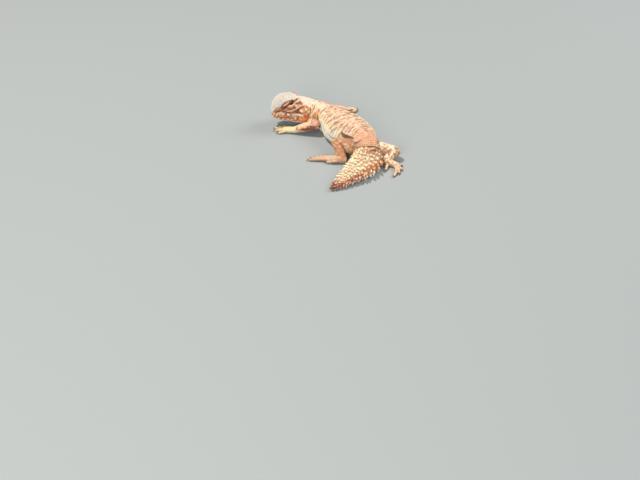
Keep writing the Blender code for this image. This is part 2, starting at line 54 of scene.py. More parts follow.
MM = 0.001
BODY_LENGTH = 153.0
ORIGIN_AT = 67.2  # the arc length that lies over the origin
LINE_STEP = 0.25
HEADING = (
    (0, 236), (25, 236), (34, 216), (43, 199), (60, 184), (80, 173),
    (98, 160), (106, 142), (114, 116), (122, 101), (153, 92),
)
TAIL_START = 104.0
# arc length, half width, height of the widest line, rise above it, drop below it
BODY = (
    (0.0, 0.8, 14.0, 0.6, 0.8), (0.6, 4.4, 14.3, 3.5, 4.2), (1.6, 5.9, 14.8, 6.0, 6.1),
    (3.2, 6.8, 15.4, 8.4, 7.6), (5.5, 7.8, 15.8, 10.1, 8.8), (9.0, 8.9, 16.0, 11.5, 9.6),
    (14.0, 10.2, 16.0, 10.9, 10.0), (20.0, 11.2, 15.5, 10.1, 10.7), (26.0, 11.2, 14.5, 8.7, 10.9),
    (31.0, 10.7, 13.0, 8.2, 9.7), (35.0, 10.2, 11.8, 8.6, 9.2), (38.5, 10.8, 10.7, 9.7, 9.0),
    (45.0, 12.0, 9.2, 10.0, 9.4), (52.0, 13.6, 8.4, 10.7, 8.8), (60.0, 16.0, 8.0, 11.2, 8.4),
    (70.0, 17.2, 8.0, 11.4, 8.3), (84.0, 15.8, 8.0, 10.6, 8.3), (95.0, 12.8, 7.6, 9.2, 7.9),
    (103.0, 10.8, 6.8, 7.8, 7.1), (109.0, 10.8, 6.0, 6.8, 6.3), (116.0, 10.2, 5.6, 5.8, 5.8),
    (126.0, 8.4, 5.0, 4.6, 5.1), (137.0, 5.6, 4.0, 3.4, 4.1), (146.0, 3.2, 2.9, 2.2, 3.0),
    (151.5, 1.3, 1.9, 1.0, 1.6), (153.0, 0.3, 1.6, 0.3, 0.4),
)
UPPER_POWER = ((0, 2.2), (8, 2.6), (14, 2.7), (30, 2.3), (60, 2.15), (153, 2.2))
LOWER_POWER = ((0, 2.2), (14, 2.8), (24, 2.9), (34, 2.4), (60, 2.5), (153, 2.5))


def ease(rows, at):
    """Smooth monotone curve through (position, value) rows."""
    x, y = np.array(rows, float).T
    rise = np.diff(y) / np.diff(x)
    slope = np.concatenate([rise[:1], np.zeros(len(x) - 2), rise[-1:]])
    for i in range(1, len(x) - 1):
        if rise[i - 1] * rise[i] > 0:
            before, after = x[i] - x[i - 1], x[i + 1] - x[i]
            near, far = 2 * after + before, after + 2 * before
            slope[i] = (near + far) / (near / rise[i - 1] + far / rise[i])
    at = np.clip(np.asarray(at, float), x[0], x[-1])
    i = np.clip(np.searchsorted(x, at, side="right") - 1, 0, len(x) - 2)
    span = x[i + 1] - x[i]
    u = (at - x[i]) / span
    return (
        (2 * u**3 - 3 * u**2 + 1) * y[i]
        + (u**3 - 2 * u**2 + u) * span * slope[i]
        + (3 * u**2 - 2 * u**3) * y[i + 1]
        + (u**3 - u**2) * span * slope[i + 1]
    )


LINE_AT = np.arange(0, BODY_LENGTH + LINE_STEP, LINE_STEP)
LINE_TURN = np.radians(ease(HEADING, LINE_AT))
line_ahead = np.stack([np.cos(LINE_TURN), np.sin(LINE_TURN)], 1)
LINE_XY = np.zeros((len(LINE_AT), 2))
LINE_XY[1:] = -np.cumsum((line_ahead[1:] + line_ahead[:-1]) * LINE_STEP / 2, axis=0)
LINE_XY -= LINE_XY[round(ORIGIN_AT / LINE_STEP)]
PROFILES = [ease([(row[0], row[k]) for row in BODY], LINE_AT) for k in range(1, 5)]
PROFILES += [ease(UPPER_POWER, LINE_AT), ease(LOWER_POWER, LINE_AT)]


def line_at(s):
    """Floor position, forward direction and left direction of the body's line."""
    turn = np.interp(s, LINE_AT, LINE_TURN)
    centre = np.stack([np.interp(s, LINE_AT, LINE_XY[:, k]) for k in (0, 1)], -1)
    ahead = np.stack([np.cos(turn), np.sin(turn)], -1)
    return centre, ahead, np.stack([-np.sin(turn), np.cos(turn)], -1)


def section(s, angle, out=0.0):
    """Offset to the left and height of a body section. Angle 0 is left, 90 degrees is up."""
    half, middle, rise, drop, upper, lower = (np.interp(s, LINE_AT, row) for row in PROFILES)
    over = np.sin(angle) > 0
    power = 2 / np.where(over, upper, lower)
    side = np.sign(np.cos(angle)) * np.abs(np.cos(angle)) ** power * (half + out)
    tall = np.abs(np.sin(angle)) ** power
    return side, middle + np.where(over, tall * (rise + out), -tall * (drop + out))


# Millimetres round each section, from the middle of the back down to the middle of the belly.
ROUND_ANGLES = np.linspace(math.pi / 2, -math.pi / 2, 121)
round_side, round_height = section(LINE_AT[:, None], ROUND_ANGLES)
ROUND_WAY = np.zeros(round_side.shape)
ROUND_WAY[:, 1:] = np.cumsum(np.hypot(np.diff(round_side), np.diff(round_height)), axis=1)


def way_round(s, angle):
    """How far down either side a place lies from the middle of the back, along the section."""
    row = np.clip(np.round(np.asarray(s) / LINE_STEP).astype(int), 0, len(LINE_AT) - 1)
    share = (math.pi / 2 - np.arcsin(np.sin(angle))) / math.pi
    column = np.clip(share * (len(ROUND_ANGLES) - 1), 0, len(ROUND_ANGLES) - 1.001)
    low = column.astype(int)
    return ROUND_WAY[row, low] * (1 - column + low) + ROUND_WAY[row, low + 1] * (column - low)


def waves(x, y, seed, count=7):
    """Smooth uneven values of about -1 to 1 over a plane."""
    draw = np.random.default_rng(seed)
    way, start = draw.uniform(0, 2 * math.pi, (2, count))
    pace = draw.uniform(0.6, 1.7, count)
    total = sum(
        np.sin(pace[i] * (x * math.cos(way[i]) + y * math.sin(way[i])) + start[i])
        for i in range(count)
    )
    return total / math.sqrt(count)


# ------------------------------------------------------------------ the skin's folds and hollows
# Loose skin hangs in fine folds across neck and flanks. The head swells over eyes and jaws,
# and the trunk is hollow where an arm or a thigh lies against it.

MOUTH_LINE = ((0, 13.2), (3, 12.4), (8, 12.0), (14, 12.2), (22, 12.8))  # height along the head
MOUTH_CORNER = 21.8
# swellings and hollows: arc length, height, reach along, reach across, how far out, tilt
HEAD_RELIEF = (
    (16.6, 23.3, 4.2, 2.8, 0.6, 20),  # eyeball under the lids
    (16.0, 25.5, 4.4, 0.9, 0.45, 22),  # upper lid and brow
    (17.2, 22.8, 3.4, 0.9, 0.6, 27),  # lower lid
    (8.6, 22.6, 2.6, 1.0, 0.5, 50),  # brow, front
    (4.5, 20.6, 2.6, 1.3, 0.3, 30),  # edge of the snout
    (3.8, 17.6, 1.7, 1.5, 0.45, 0),  # nostril
    (10.4, 20.2, 3.4, 1.6, -0.7, 38),  # hollow before the eye
    (19.0, 20.4, 3.6, 1.2, 0.35, 25),  # fold under the eye
    (23.0, 21.4, 3.4, 2.4, -0.5, 20),  # temple
    (25.0, 12.8, 5.0, 3.4, 0.9, 0),  # jaw muscle
    (30.6, 15.0, 1.5, 3.6, 0.4, 0),  # rim before the ear
    (12.6, 16.3, 5.0, 0.6, -0.2, 4),  # crease over the upper lip
)
# The brow line is carved as a groove and painted dark as the shade under the brow ridge.
# lines of both sides of the head: arc length, millimetres down from the crown's middle, half width
BROW_SHADE_LINE = (
    (7.6, 12.0, 0.3), (8.8, 10.9, 0.4), (10.5, 8.9, 0.45), (12.3, 7.7, 0.45), (14.2, 7.1, 0.4),
    (16.2, 6.6, 0.4), (17.8, 5.8, 0.4),
)
EYE_STREAK = (
    ((14.6, 9.3, 0.5), (12.5, 11.3, 0.7), (11.1, 12.5, 0.9), (9.4, 13.2, 1.1), (8.6, 11.9, 0.5)),
    ((14.4, 8.4, 0.3), (16.0, 7.6, 0.35), (17.4, 6.9, 0.35)),
    ((17.4, 7.0, 0.4), (19.0, 6.3, 0.6), (20.1, 4.8, 0.55), (21.1, 3.1, 0.45), (22.3, 1.2, 0.3)),
)
FACE_CREASES = (
    ((3.3, 12.2, 0.3), (4.9, 13.4, 0.4), (7.1, 14.1, 0.4), (9.1, 15.0, 0.4), (10.6, 15.5, 0.4),
     (12.6, 16.5, 0.4), (14.9, 17.0, 0.4), (17.0, 16.6, 0.3)),
    ((3.0, 10.9, 0.3), (3.6, 10.0, 0.35), (4.8, 10.3, 0.3)),
    ((12.9, 12.2, 0.3), (14.3, 13.1, 0.4), (15.8, 13.5, 0.45), (17.4, 12.4, 0.4), (19.0, 11.5, 0.3)),
    ((18.2, 15.2, 0.5), (19.5, 15.5, 0.9), (20.8, 14.0, 0.65), (22.4, 11.8, 0.55), (24.2, 9.8, 0.5),
     (26.3, 8.9, 0.35)),
    ((20.0, 8.6, 0.35), (22.0, 7.0, 0.4), (24.1, 4.7, 0.35)),
    ((20.6, 15.9, 0.35), (22.1, 15.0, 0.4), (23.3, 15.1, 0.3)),
    ((24.9, 14.8, 0.4), (25.4, 14.0, 0.35)),
    ((27.8, 12.5, 0.3), (28.8, 12.3, 0.5)),
    ((31.3, 8.6, 0.35), (32.1, 9.4, 0.4)),
    ((33.2, 5.8, 0.3), (33.9, 7.6, 0.5), (34.6, 10.6, 0.4), (34.2, 12.4, 0.3)),
    ((31.9, 13.4, 0.25), (32.0, 15.4, 0.3)),
    ((2.0, 13.5, 0.35), (2.4, 13.5, 0.35)),
    ((11.6, 17.2, 0.35), (11.8, 18.9, 0.4)),
    ((16.0, 18.6, 0.4), (16.2, 19.2, 0.4)),
    ((7.6, 22.2, 0.4), (7.8, 23.2, 0.4)),
    ((11.2, 23.2, 0.4), (11.3, 24.4, 0.4)),
    ((15.0, 23.0, 0.4), (15.0, 24.4, 0.4)),
    ((20.6, 21.0, 0.5), (21.2, 22.2, 0.4)),
)
NECK_CREASES = (
    ((34.1, 1.9, 0.3), (35.5, 5.4, 0.35)),
    ((39.2, 13.2, 0.4), (39.5, 15.4, 0.5)),
    ((43.9, 10.2, 0.45), (44.5, 12.2, 0.9), (45.0, 14.2, 0.75)),
    ((40.6, 9.0, 0.35), (41.4, 12.4, 0.45), (41.0, 15.5, 0.4)),
    ((36.4, 2.6, 0.25), (37.3, 4.8, 0.35), (37.0, 7.6, 0.3)),
    ((42.6, 4.6, 0.3), (43.0, 7.4, 0.4)),
    ((38.7, 16.8, 0.4), (37.6, 18.6, 0.5)),
)
LOWER_LID = (
    (14.6, 10.8, 0.3), (15.6, 11.1, 0.42), (16.7, 10.8, 0.42), (18.0, 9.9, 0.4), (19.0, 8.8, 0.35),
)
LIGHT_BANDS = (
    ((13.4, 15.5, 0.35), (15.8, 15.0, 0.45), (18.6, 13.5, 0.45), (21.0, 11.8, 0.45), (23.0, 9.8, 0.45),
     (25.5, 7.6, 0.35)),
    ((19.9, 7.6, 0.45), (21.7, 5.3, 0.6), (23.0, 3.0, 0.5)),
    ((10.6, 10.5, 0.35), (12.6, 9.5, 0.4)),
)
WHITE_BAR = ((18.6, 17.7, 0.5), (20.8, 17.4, 0.7), (22.8, 16.9, 0.7), (24.6, 16.6, 0.5))
CREASE_DEPTH, BROW_DEPTH, LID_RISE, SPOT_RISE = 0.28, 0.35, 0.35, 0.18
RIGHT_LOWER = 0.9  # the head's lines lie this much lower on the right


def short_lines(rows):
    """A short line for each spot of (arc length, way down, radius)."""
    return tuple(((s - 0.2, down, radius), (s + 0.2, down, radius)) for s, down, radius in rows)


LIP_SPOTS = short_lines((
    (2.2, 12.0, 0.7), (4.8, 15.5, 0.7), (7.2, 16.4, 0.8), (9.4, 17.8, 0.95), (13.7, 18.4, 1.0),
    (17.2, 18.4, 0.75), (2.9, 16.9, 0.5), (6.0, 21.4, 0.75), (9.3, 23.0, 0.85), (13.2, 23.4, 0.8),
    (16.6, 23.2, 0.8), (19.1, 20.8, 0.95), (23.2, 20.4, 0.6),
))
CHEEK_SPOTS = short_lines((
    (24.1, 13.2, 1.0), (28.6, 10.3, 0.85), (32.3, 10.8, 0.6), (20.0, 10.1, 0.7), (26.5, 6.6, 0.6),
    (29.8, 6.2, 0.5),
))
NECK_FOLD = (
    (34.2, 17.6, 0.6), (35.0, 15.0, 0.8), (36.3, 12.6, 0.9), (38.0, 10.2, 0.85), (39.6, 8.0, 0.7),
    (40.2, 6.0, 0.5),
)
# The slit over the left thigh is carved, and painted dark as the shade between thigh and flank.
# lines of the trunk: arc length, millimetres down from the back's middle (below 0 on the right),
# half width
THIGH_SLIT = (
    (79.0, 13.2, 0.8), (81.6, 14.2, 1.6), (84.2, 13.6, 1.7), (86.8, 11.8, 1.2), (89.6, 10.0, 0.9),
    (92.1, 8.6, 0.5),
)
HIP_CREASE = ((94.8, 13.2, 0.8), (96.5, 11.4, 1.1), (97.6, 9.2, 0.9), (98.2, 6.6, 0.6), (97.8, 4.1, 0.4))
FLANK_CREASE = ((65.8, 21.0, 0.3), (69.5, 21.9, 0.45), (72.1, 22.2, 0.55), (75.2, 21.4, 0.4))
BODY_LINES = (THIGH_SLIT, HIP_CREASE, FLANK_CREASE)
BODY_LINE_DEPTH = 0.7
# folds of the loose skin on the left; the right side has the same, a little farther back
FLANK_FOLDS = (
    ((45.9, 7.2, 0.44), (46.1, 4.0, 0.56), (46.0, 0.4, 0.38)),
    ((50.0, 5.4, 0.44), (50.6, 4.0, 0.56), (51.7, 1.8, 0.38)),
    ((54.6, 10.0, 0.38), (55.0, 7.1, 0.56), (55.3, 3.6, 0.38)),
    ((58.8, 14.4, 0.38), (60.4, 10.9, 0.62), (61.4, 7.3, 0.62), (59.8, 5.1, 0.38)),
    ((66.3, 16.8, 0.38), (66.5, 14.0, 0.56), (66.6, 10.6, 0.62), (67.2, 6.5, 0.38)),
    ((69.1, 19.1, 0.44), (70.3, 15.4, 0.62), (70.9, 12.7, 0.38)),
    ((74.5, 14.2, 0.44), (74.0, 11.3, 0.62), (73.3, 8.2, 0.56), (72.3, 4.4, 0.38)),
    ((77.1, 10.2, 0.44), (76.7, 7.6, 0.56), (75.8, 4.0, 0.38)),
    ((62.7, 6.6, 0.38), (62.7, 3.5, 0.5), (62.1, -0.8, 0.38)),
    ((68.4, 4.4, 0.44), (68.3, 1.4, 0.5), (68.9, -0.4, 0.38)),
    ((68.1, 11.5, 0.38), (68.5, 8.2, 0.5)),
    ((81.5, 10.2, 0.44), (80.6, 6.8, 0.56), (80.0, 4.8, 0.38)),
    ((83.6, 9.0, 0.44), (82.9, 6.8, 0.56), (81.6, 3.0, 0.38)),
    ((79.4, 13.2, 0.5), (78.9, 14.9, 0.75), (79.0, 17.4, 0.5)),
    ((85.6, 5.8, 0.44), (84.3, 3.7, 0.44)),
    ((87.9, 5.2, 0.5), (87.0, 2.9, 0.44)),
)
RIGHT_BEHIND, FOLD_EDGE = 1.6, 0.4
# dark lines of the tail's base, arc length and signed way down
TAIL_LINES = (
    ((102.6, 9.2, 0.6), (104.5, 4.9, 0.75), (105.1, -1.3, 0.7), (105.2, -6.1, 0.7), (103.9, -11.6, 0.5)),
    ((110.7, 4.8, 0.9), (109.8, 0.0, 1.2), (107.8, -5.2, 1.2), (104.9, -13.4, 0.7)),
)
# swellings and hollows of the trunk: arc length, angle round from the left side, reach along,
# reach round, how far out
TRUNK_RELIEF = (
    (88.0, -5, 7.5, 38, -3.0),  # hollow that the left thigh lies in
    (91.0, 185, 6.0, 35, -1.6),  # hollow before the right thigh
    (44.5, -8, 4.5, 35, -1.6),  # left armpit
    (51.0, -10, 4.0, 30, -1.8),  # hollow behind the left elbow
    (87.0, 44, 6.5, 11, -1.2),  # crease over the left thigh
    (46.0, 188, 4.5, 35, -1.0),  # right armpit
    (96.0, 52, 5.0, 18, 0.8),  # left hip
    (96.0, 128, 5.0, 18, 0.8),  # right hip
    (44.0, 48, 4.5, 20, 0.6),  # left shoulder blade
    (44.0, 132, 4.5, 20, 0.6),  # right shoulder blade
)
NECK_FOLDS = (
    (33.0, 0.0), (34.6, -0.35), (36.3, 0.5), (37.6, -0.7), (39.0, 0.5), (40.3, -0.5), (41.6, 0.2),
    (43.0, 0.0),
)
SCALE_ROW = 0.75  # from one row of back scales to the next
FOLD_EVERY = 4  # rows of scales from one fold of the skin to the next
FOLD_PITCH = SCALE_ROW * FOLD_EVERY
CUT_GAP = 0.3  # clear space between neighbouring solids
# start, end, thorns round each whorl, whorls
WHORLS = ((TAIL_START, 120.0, 19, 5), (120.0, 136.5, 16, 6), (136.5, BODY_LENGTH, 11, 7))


def whorl_edges(start, end, whorls):
    return start + CUT_GAP / 2 + (end - start - CUT_GAP) * np.linspace(0, 1, whorls + 1) ** 0.92


WHORL_EDGES = np.concatenate([whorl_edges(start, end, whorls) for start, end, _, whorls in WHORLS])
FOLD_DEPTH, FOLD_WIDTH, WHORL_FOLD_WIDTH = 0.5, 0.62, 0.5
COAT = 0.25  # depth of the scales over the skin


def row_wander(s, angle):
    """How far the rows of scales, and the folds between them, stray along the body."""
    return 0.8 * waves(s / 11, 2.2 * np.sin(angle), 3) + 0.5 * waves(s / 5, 3.1 * np.cos(angle), 4)


def strokes(paths, at, down, soft=0.25):
    """0 to 1: how much of the lines, of (arc length, way down, half width), lies at each place."""
    most = np.zeros(np.shape(at))
    for path in paths:
        for (s0, d0, w0), (s1, d1, w1) in zip(path[:-1], path[1:]):
            edge = max(w0, w1) + soft
            near = (at > min(s0, s1) - edge) & (at < max(s0, s1) + edge)
            near &= (down > min(d0, d1) - edge) & (down < max(d0, d1) + edge)
            s, d = at[near], down[near]
            squared = (s1 - s0) ** 2 + (d1 - d0) ** 2
            share = np.clip(((s - s0) * (s1 - s0) + (d - d0) * (d1 - d0)) / squared, 0, 1)
            off = np.hypot(s - s0 - share * (s1 - s0), d - d0 - share * (d1 - d0))
            inked = np.clip((w0 + share * (w1 - w0) - off) / (2 * soft) + 0.5, 0, 1)
            most[near] = np.maximum(most[near], inked)
    return most


def fold_strength(s, down):
    """0 to 1: how strong the folds are, broken into dashes on the flanks and faint on the back."""
    flank = np.interp(down, (2.5, 6.5, 17, 22), (0.1, 1, 1, 0.4))
    patchy = np.clip(0.5 + 0.9 * waves(s / 1.1, down / 1.3, 5), 0, 1)
    return 0.6 * flank * patchy * np.interp(s, (39, 44, 86, 96), (0.3, 1, 1, 0))


def crease_at(s, angle):
    """0 to 1: how deep a fold of the skin is here."""
    off = (s + row_wander(s, angle) + FOLD_PITCH / 2) % FOLD_PITCH - FOLD_PITCH / 2
    down = way_round(s, angle)
    belly = np.clip((np.sin(angle) + 0.85) / 0.3, 0.1, 1)
    folds = np.exp(-((off / FOLD_WIDTH) ** 2)) * fold_strength(s, down) * belly
    edge = np.abs(s[..., None] - WHORL_EDGES).min(-1)
    fade = np.interp(s, (103, 104, 112, 122, 140), (0, 1, 1, 0.7, 0.5))
    whorls = np.exp(-((edge / WHORL_FOLD_WIDTH) ** 2)) * fade * belly
    return np.maximum(folds, whorls)


def trunk_lines(s, signed):
    """0 to 1: the single folds of the loose skin, and the lines across the tail's base."""
    right = strokes(FLANK_FOLDS, s - RIGHT_BEHIND, -signed, FOLD_EDGE) * (signed < 0)
    left = strokes(FLANK_FOLDS, s, signed, FOLD_EDGE) * (signed > -1)
    return np.maximum.reduce([left, right, strokes(TAIL_LINES, s, signed)])


def ridge_at(s, angle):
    """0 to 1: how near the crest between two folds of the skin is."""
    off = (s + row_wander(s, angle)) % FOLD_PITCH - FOLD_PITCH / 2
    return np.exp(-((off / (1.3 * FOLD_WIDTH)) ** 2)) * fold_strength(s, way_round(s, angle))


def trunk_points(s, angle):
    """Points of the trunk's skin, for arrays of arc length and angle."""
    out = -COAT * np.clip(s / 3, 0.2, 1) - FOLD_DEPTH * crease_at(s, angle)
    out = out + ease(NECK_FOLDS, s) * (0.35 + 0.65 * np.abs(np.cos(angle)))
    for at, toward, along, round_by, rise in TRUNK_RELIEF:
        off = (np.degrees(angle) - toward + 180) % 360 - 180
        out = out + rise * np.exp(-(((s - at) / along) ** 2) - (off / round_by) ** 2)
    down = way_round(s, angle)
    signed = np.where(np.cos(angle) > 0, down, -down)
    out = out - BODY_LINE_DEPTH * strokes(BODY_LINES, s, signed) - FOLD_DEPTH * trunk_lines(s, signed)
    down = down - RIGHT_LOWER * (signed < 0)
    side, height = section(s, angle, np.maximum(out, -0.9 * np.interp(s, LINE_AT, PROFILES[0])))
    flank = np.clip((np.abs(side) - 1.5) / 3.5, 0, 1)
    spots, creases = LIP_SPOTS + CHEEK_SPOTS + LIGHT_BANDS + (WHITE_BAR,), FACE_CREASES + NECK_CREASES
    swell = LID_RISE * strokes((LOWER_LID,), s, down) + SPOT_RISE * strokes(spots, s, down)
    swell = swell - BROW_DEPTH * strokes((BROW_SHADE_LINE,), s, down) - CREASE_DEPTH * strokes(creases, s, down)
    for at, level, along, across, rise, tilt in HEAD_RELIEF:
        turn = math.radians(tilt)
        far = (s - at) * math.cos(turn) + (height - level) * math.sin(turn)
        off = (height - level) * math.cos(turn) - (s - at) * math.sin(turn)
        swell = swell + rise * np.exp(-((far / along) ** 2) - (off / across) ** 2) * flank
    over_mouth = height - ease(MOUTH_LINE, s)
    open_here = np.clip((MOUTH_CORNER - s) / 1.5, 0, 1) * np.clip(s / 1.2, 0, 1)
    swell = swell + open_here * (0.4 * np.exp(-((np.abs(over_mouth) - 1.0) / 0.7) ** 2))
    swell = swell - open_here * 0.85 * np.exp(-((over_mouth / 0.28) ** 2))
    middle = np.interp(s, LINE_AT, PROFILES[1])
    reach = np.hypot(side, height - middle) + 1e-6
    side, height = side * (1 + swell / reach), height + (height - middle) * swell / reach
    centre, _, left = line_at(s)
    return np.concatenate([centre + side[..., None] * left, np.maximum(height, COAT / 2)[..., None]], -1)


def trunk_surface():
    """Rings of the trunk: closest on the head, with rows that follow the mouth."""
    rings = np.concatenate([
        [0.2, 0.5, 0.8], np.arange(1.1, 36, 0.3), np.arange(36, TAIL_START, 0.4),
        np.arange(TAIL_START, 152.9, 0.6),
    ])
    upper_rows, lower_rows = 52, 26
    middle, drop, half, lower = (np.interp(rings, LINE_AT, PROFILES[k]) for k in (1, 3, 0, 5))
    deep = np.clip((middle - ease(MOUTH_LINE, rings)) / drop, 0, 0.9)
    on_head = np.clip((45 - rings) / 12, 0, 1)
    mouth = -np.arcsin(deep ** (lower / 2)) * on_head - 0.2 * (1 - on_head)
    lip = np.minimum(0.3 / half, 0.2)
    angles = []
    for m, l in zip(mouth, lip):
        upper = m + l + (math.pi / 2 - m - l) * np.linspace(1, 0, upper_rows) ** 1.15
        under = m - l - (m - l + math.pi / 2) * np.linspace(0, 1, lower_rows) ** 1.2
        left = np.concatenate([upper, [m + l / 2, m, m - l / 2], under])
        angles.append(np.concatenate([left, (math.pi - left)[-2:0:-1]]))
    angles = np.array(angles)
    return trunk_points(np.repeat(rings[:, None], angles.shape[1], 1), angles)


def closed_loft(rings, first_pole, last_pole):
    """Vertices and faces of rings closed by a point at each end."""
    count, total = rings.shape[1], rings.shape[0]
    r, k = np.meshgrid(np.arange(total - 1), np.arange(count), indexing="ij")
    r, k = r.ravel(), k.ravel()
    n = (k + 1) % count
    faces = np.stack([r * count + k, (r + 1) * count + k, (r + 1) * count + n, r * count + n], 1).tolist()
    first, last = total * count, total * count + 1
    faces += [(first, k, (k + 1) % count) for k in range(count)]
    faces += [(last, (total - 1) * count + (k + 1) % count, (total - 1) * count + k) for k in range(count)]
    return np.concatenate([rings.reshape(-1, 3), [first_pole], [last_pole]]), faces


def new_object(name, points, faces):
    """A shaded object from points in millimetres, with its faces turned outwards."""
    mesh = bpy.data.meshes.new(name)
    mesh.from_pydata((np.asarray(points) * MM).tolist(), [], faces)
    work = bmesh.new()
    work.from_mesh(mesh)
    bmesh.ops.recalc_face_normals(work, faces=work.faces)
    work.to_mesh(mesh)
    work.free()
    mesh.shade_smooth()
    made = bpy.data.objects.new(name, mesh)
    bpy.context.scene.collection.objects.link(made)
    return made


snout_tip = np.append(line_at(0.0)[0], float(ease(MOUTH_LINE, 0)))
tail_tip = np.append(line_at(BODY_LENGTH)[0], 1.2)
skin = new_object("skin", *closed_loft(trunk_surface(), snout_tip, tail_tip))

# ------------------------------------------------------------------ legs
# Each leg is a swelling upper piece, a lower piece and a flat sole with five toes. They are
# fused with the trunk, so that one skin runs from the back out to the toes.

# joints of each leg: root inside the torso, elbow or knee, wrist or ankle, ball of the foot
JOINTS = {
    "arm_left": ((-29.5, -12.5, 7.8), (-18.9, -14.8, 8.8), (-30.6, -27.2, 3.0), (-37.5, -31.8, 1.9)),
    "arm_right": ((-31.0, 2.0, 9.0), (-32.8, 14.4, 5.6), (-27.6, 24.6, 3.0), (-27.8, 29.4, 1.9)),
    "leg_left": ((29.5, -8.5, 8.2), (12.7, -18.7, 9.2), (26.0, -23.2, 3.2), (16.5, -30.5, 2.1)),
    "leg_right": ((31.5, 0.0, 7.5), (46.0, 11.0, 6.6), (46.4, 1.4, 3.2), (53.6, 4.0, 2.1)),
}
# half thickness at the start, middle and end of the upper piece, the lower piece and the sole
GIRTHS = {
    "arm": ((4.4, 4.6, 3.9), (3.9, 3.6, 2.6), (2.6, 3.0, 2.6)),
    "leg": ((5.8, 5.4, 4.3), (4.2, 3.8, 2.7), (2.9, 3.0, 2.6)),
}
SOLE_FLATNESS = 0.78
# toes, inner to outer: place along the sole, place across it, spread in degrees, length, bend
TOES = {
    "arm_left": ((0.75, -2.0, -34, 6.0, 8), (0.9, -1.2, -15, 7.4, 5), (1.0, 0.0, -1, 8.0, 0),
                 (0.9, 1.2, 13, 7.6, -5), (0.75, 2.0, 34, 6.0, -8)),
    "arm_right": ((0.75, -1.6, -24, 3.4, 8), (0.9, -1.0, -12, 4.6, 5), (1.0, 0.0, -1, 5.2, 0),
                  (0.9, 1.0, 11, 4.8, -5), (0.75, 1.6, 24, 3.6, -8)),
    "leg_left": ((0.85, -2.0, -7, 8.0, 8), (0.95, -1.2, 1, 10.0, 6), (1.0, -0.3, 6, 12.0, 3),
                 (1.0, 1.0, 12, 13.5, 0), (0.4, 2.3, 12, 6.5, -4)),
    "leg_right": ((0.8, -2.0, -10, 5.0, 8), (0.95, -1.2, 14, 7.4, 28), (1.0, -0.3, 32, 10.0, 50),
                  (1.0, 0.8, 48, 12.5, 65), (0.3, 1.8, 64, 6.0, 18)),
}
TOE_RADIUS = {"arm": 1.15, "leg": 1.25}
LIMB_COAT = 0.2
LEG_ROUND, TOE_ROUND = 40, 20  # points round a leg and a toe
LEG_STEPS, TOE_STEPS = 25, 26  # and along each stretch of one
TOE_FLATNESS = 0.9


def tube(path, wide, tall, count):
    """Closed surface of a tube with oval sections and rounded ends."""
    ahead = np.gradient(path, axis=0)
    ahead /= np.linalg.norm(ahead, axis=1)[:, None]
    rows = list(zip(path, ahead, wide, tall))
    cap = np.radians((15, 30, 45, 60, 75))

    def dome(row, sign):
        centre, way, w, t = row
        return [(centre + sign * way * t * math.sin(a), way, w * math.cos(a), t * math.cos(a)) for a in cap]

    rows = dome(rows[0], -1)[::-1] + rows + dome(rows[-1], 1)
    angles = np.linspace(0, 2 * math.pi, count, endpoint=False)
    rings = []
    for centre, way, w, t in rows:
        side = np.cross((0, 0, 1), way)
        side /= np.linalg.norm(side)
        upward = np.cross(way, side)
        rings.append(centre + np.outer(np.cos(angles) * w, side) + np.outer(np.sin(angles) * t, upward))
    poles = path[0] - ahead[0] * tall[0], path[-1] + ahead[-1] * tall[-1]
    points, faces = closed_loft(np.array(rings), *poles)
    points[:, 2] = np.maximum(points[:, 2], LIMB_COAT / 2)
    return points, faces


def toe_path(root, angle, bend, length, radius):
    """Centre line of a toe: it leaves the sole, arches a little and comes down to the floor."""
    steps = 6
    share = np.linspace(0, 1, steps)
    turn = angle + bend * (share - 0.3)
    flat = np.zeros((steps, 2))
    middle = (turn[1:] + turn[:-1]) / 2
    flat[1:] = np.cumsum(length / (steps - 1) * np.column_stack([np.cos(middle), np.sin(middle)]), axis=0)
    height = np.interp(share, (0, 0.45, 1), (root[2], radius * 1.25, radius * 0.85))
    return np.column_stack([root[:2] + flat, height])


def finer(path, values, steps):
    """A path and what goes with each of its points, at more and evenly spaced steps."""
    at = np.linspace(0, len(path) - 1, steps)
    old = np.arange(len(path))
    smooth = np.column_stack([ease(np.column_stack([old, path[:, k]]), at) for k in range(3)])
    return smooth, np.interp(at, old, values)


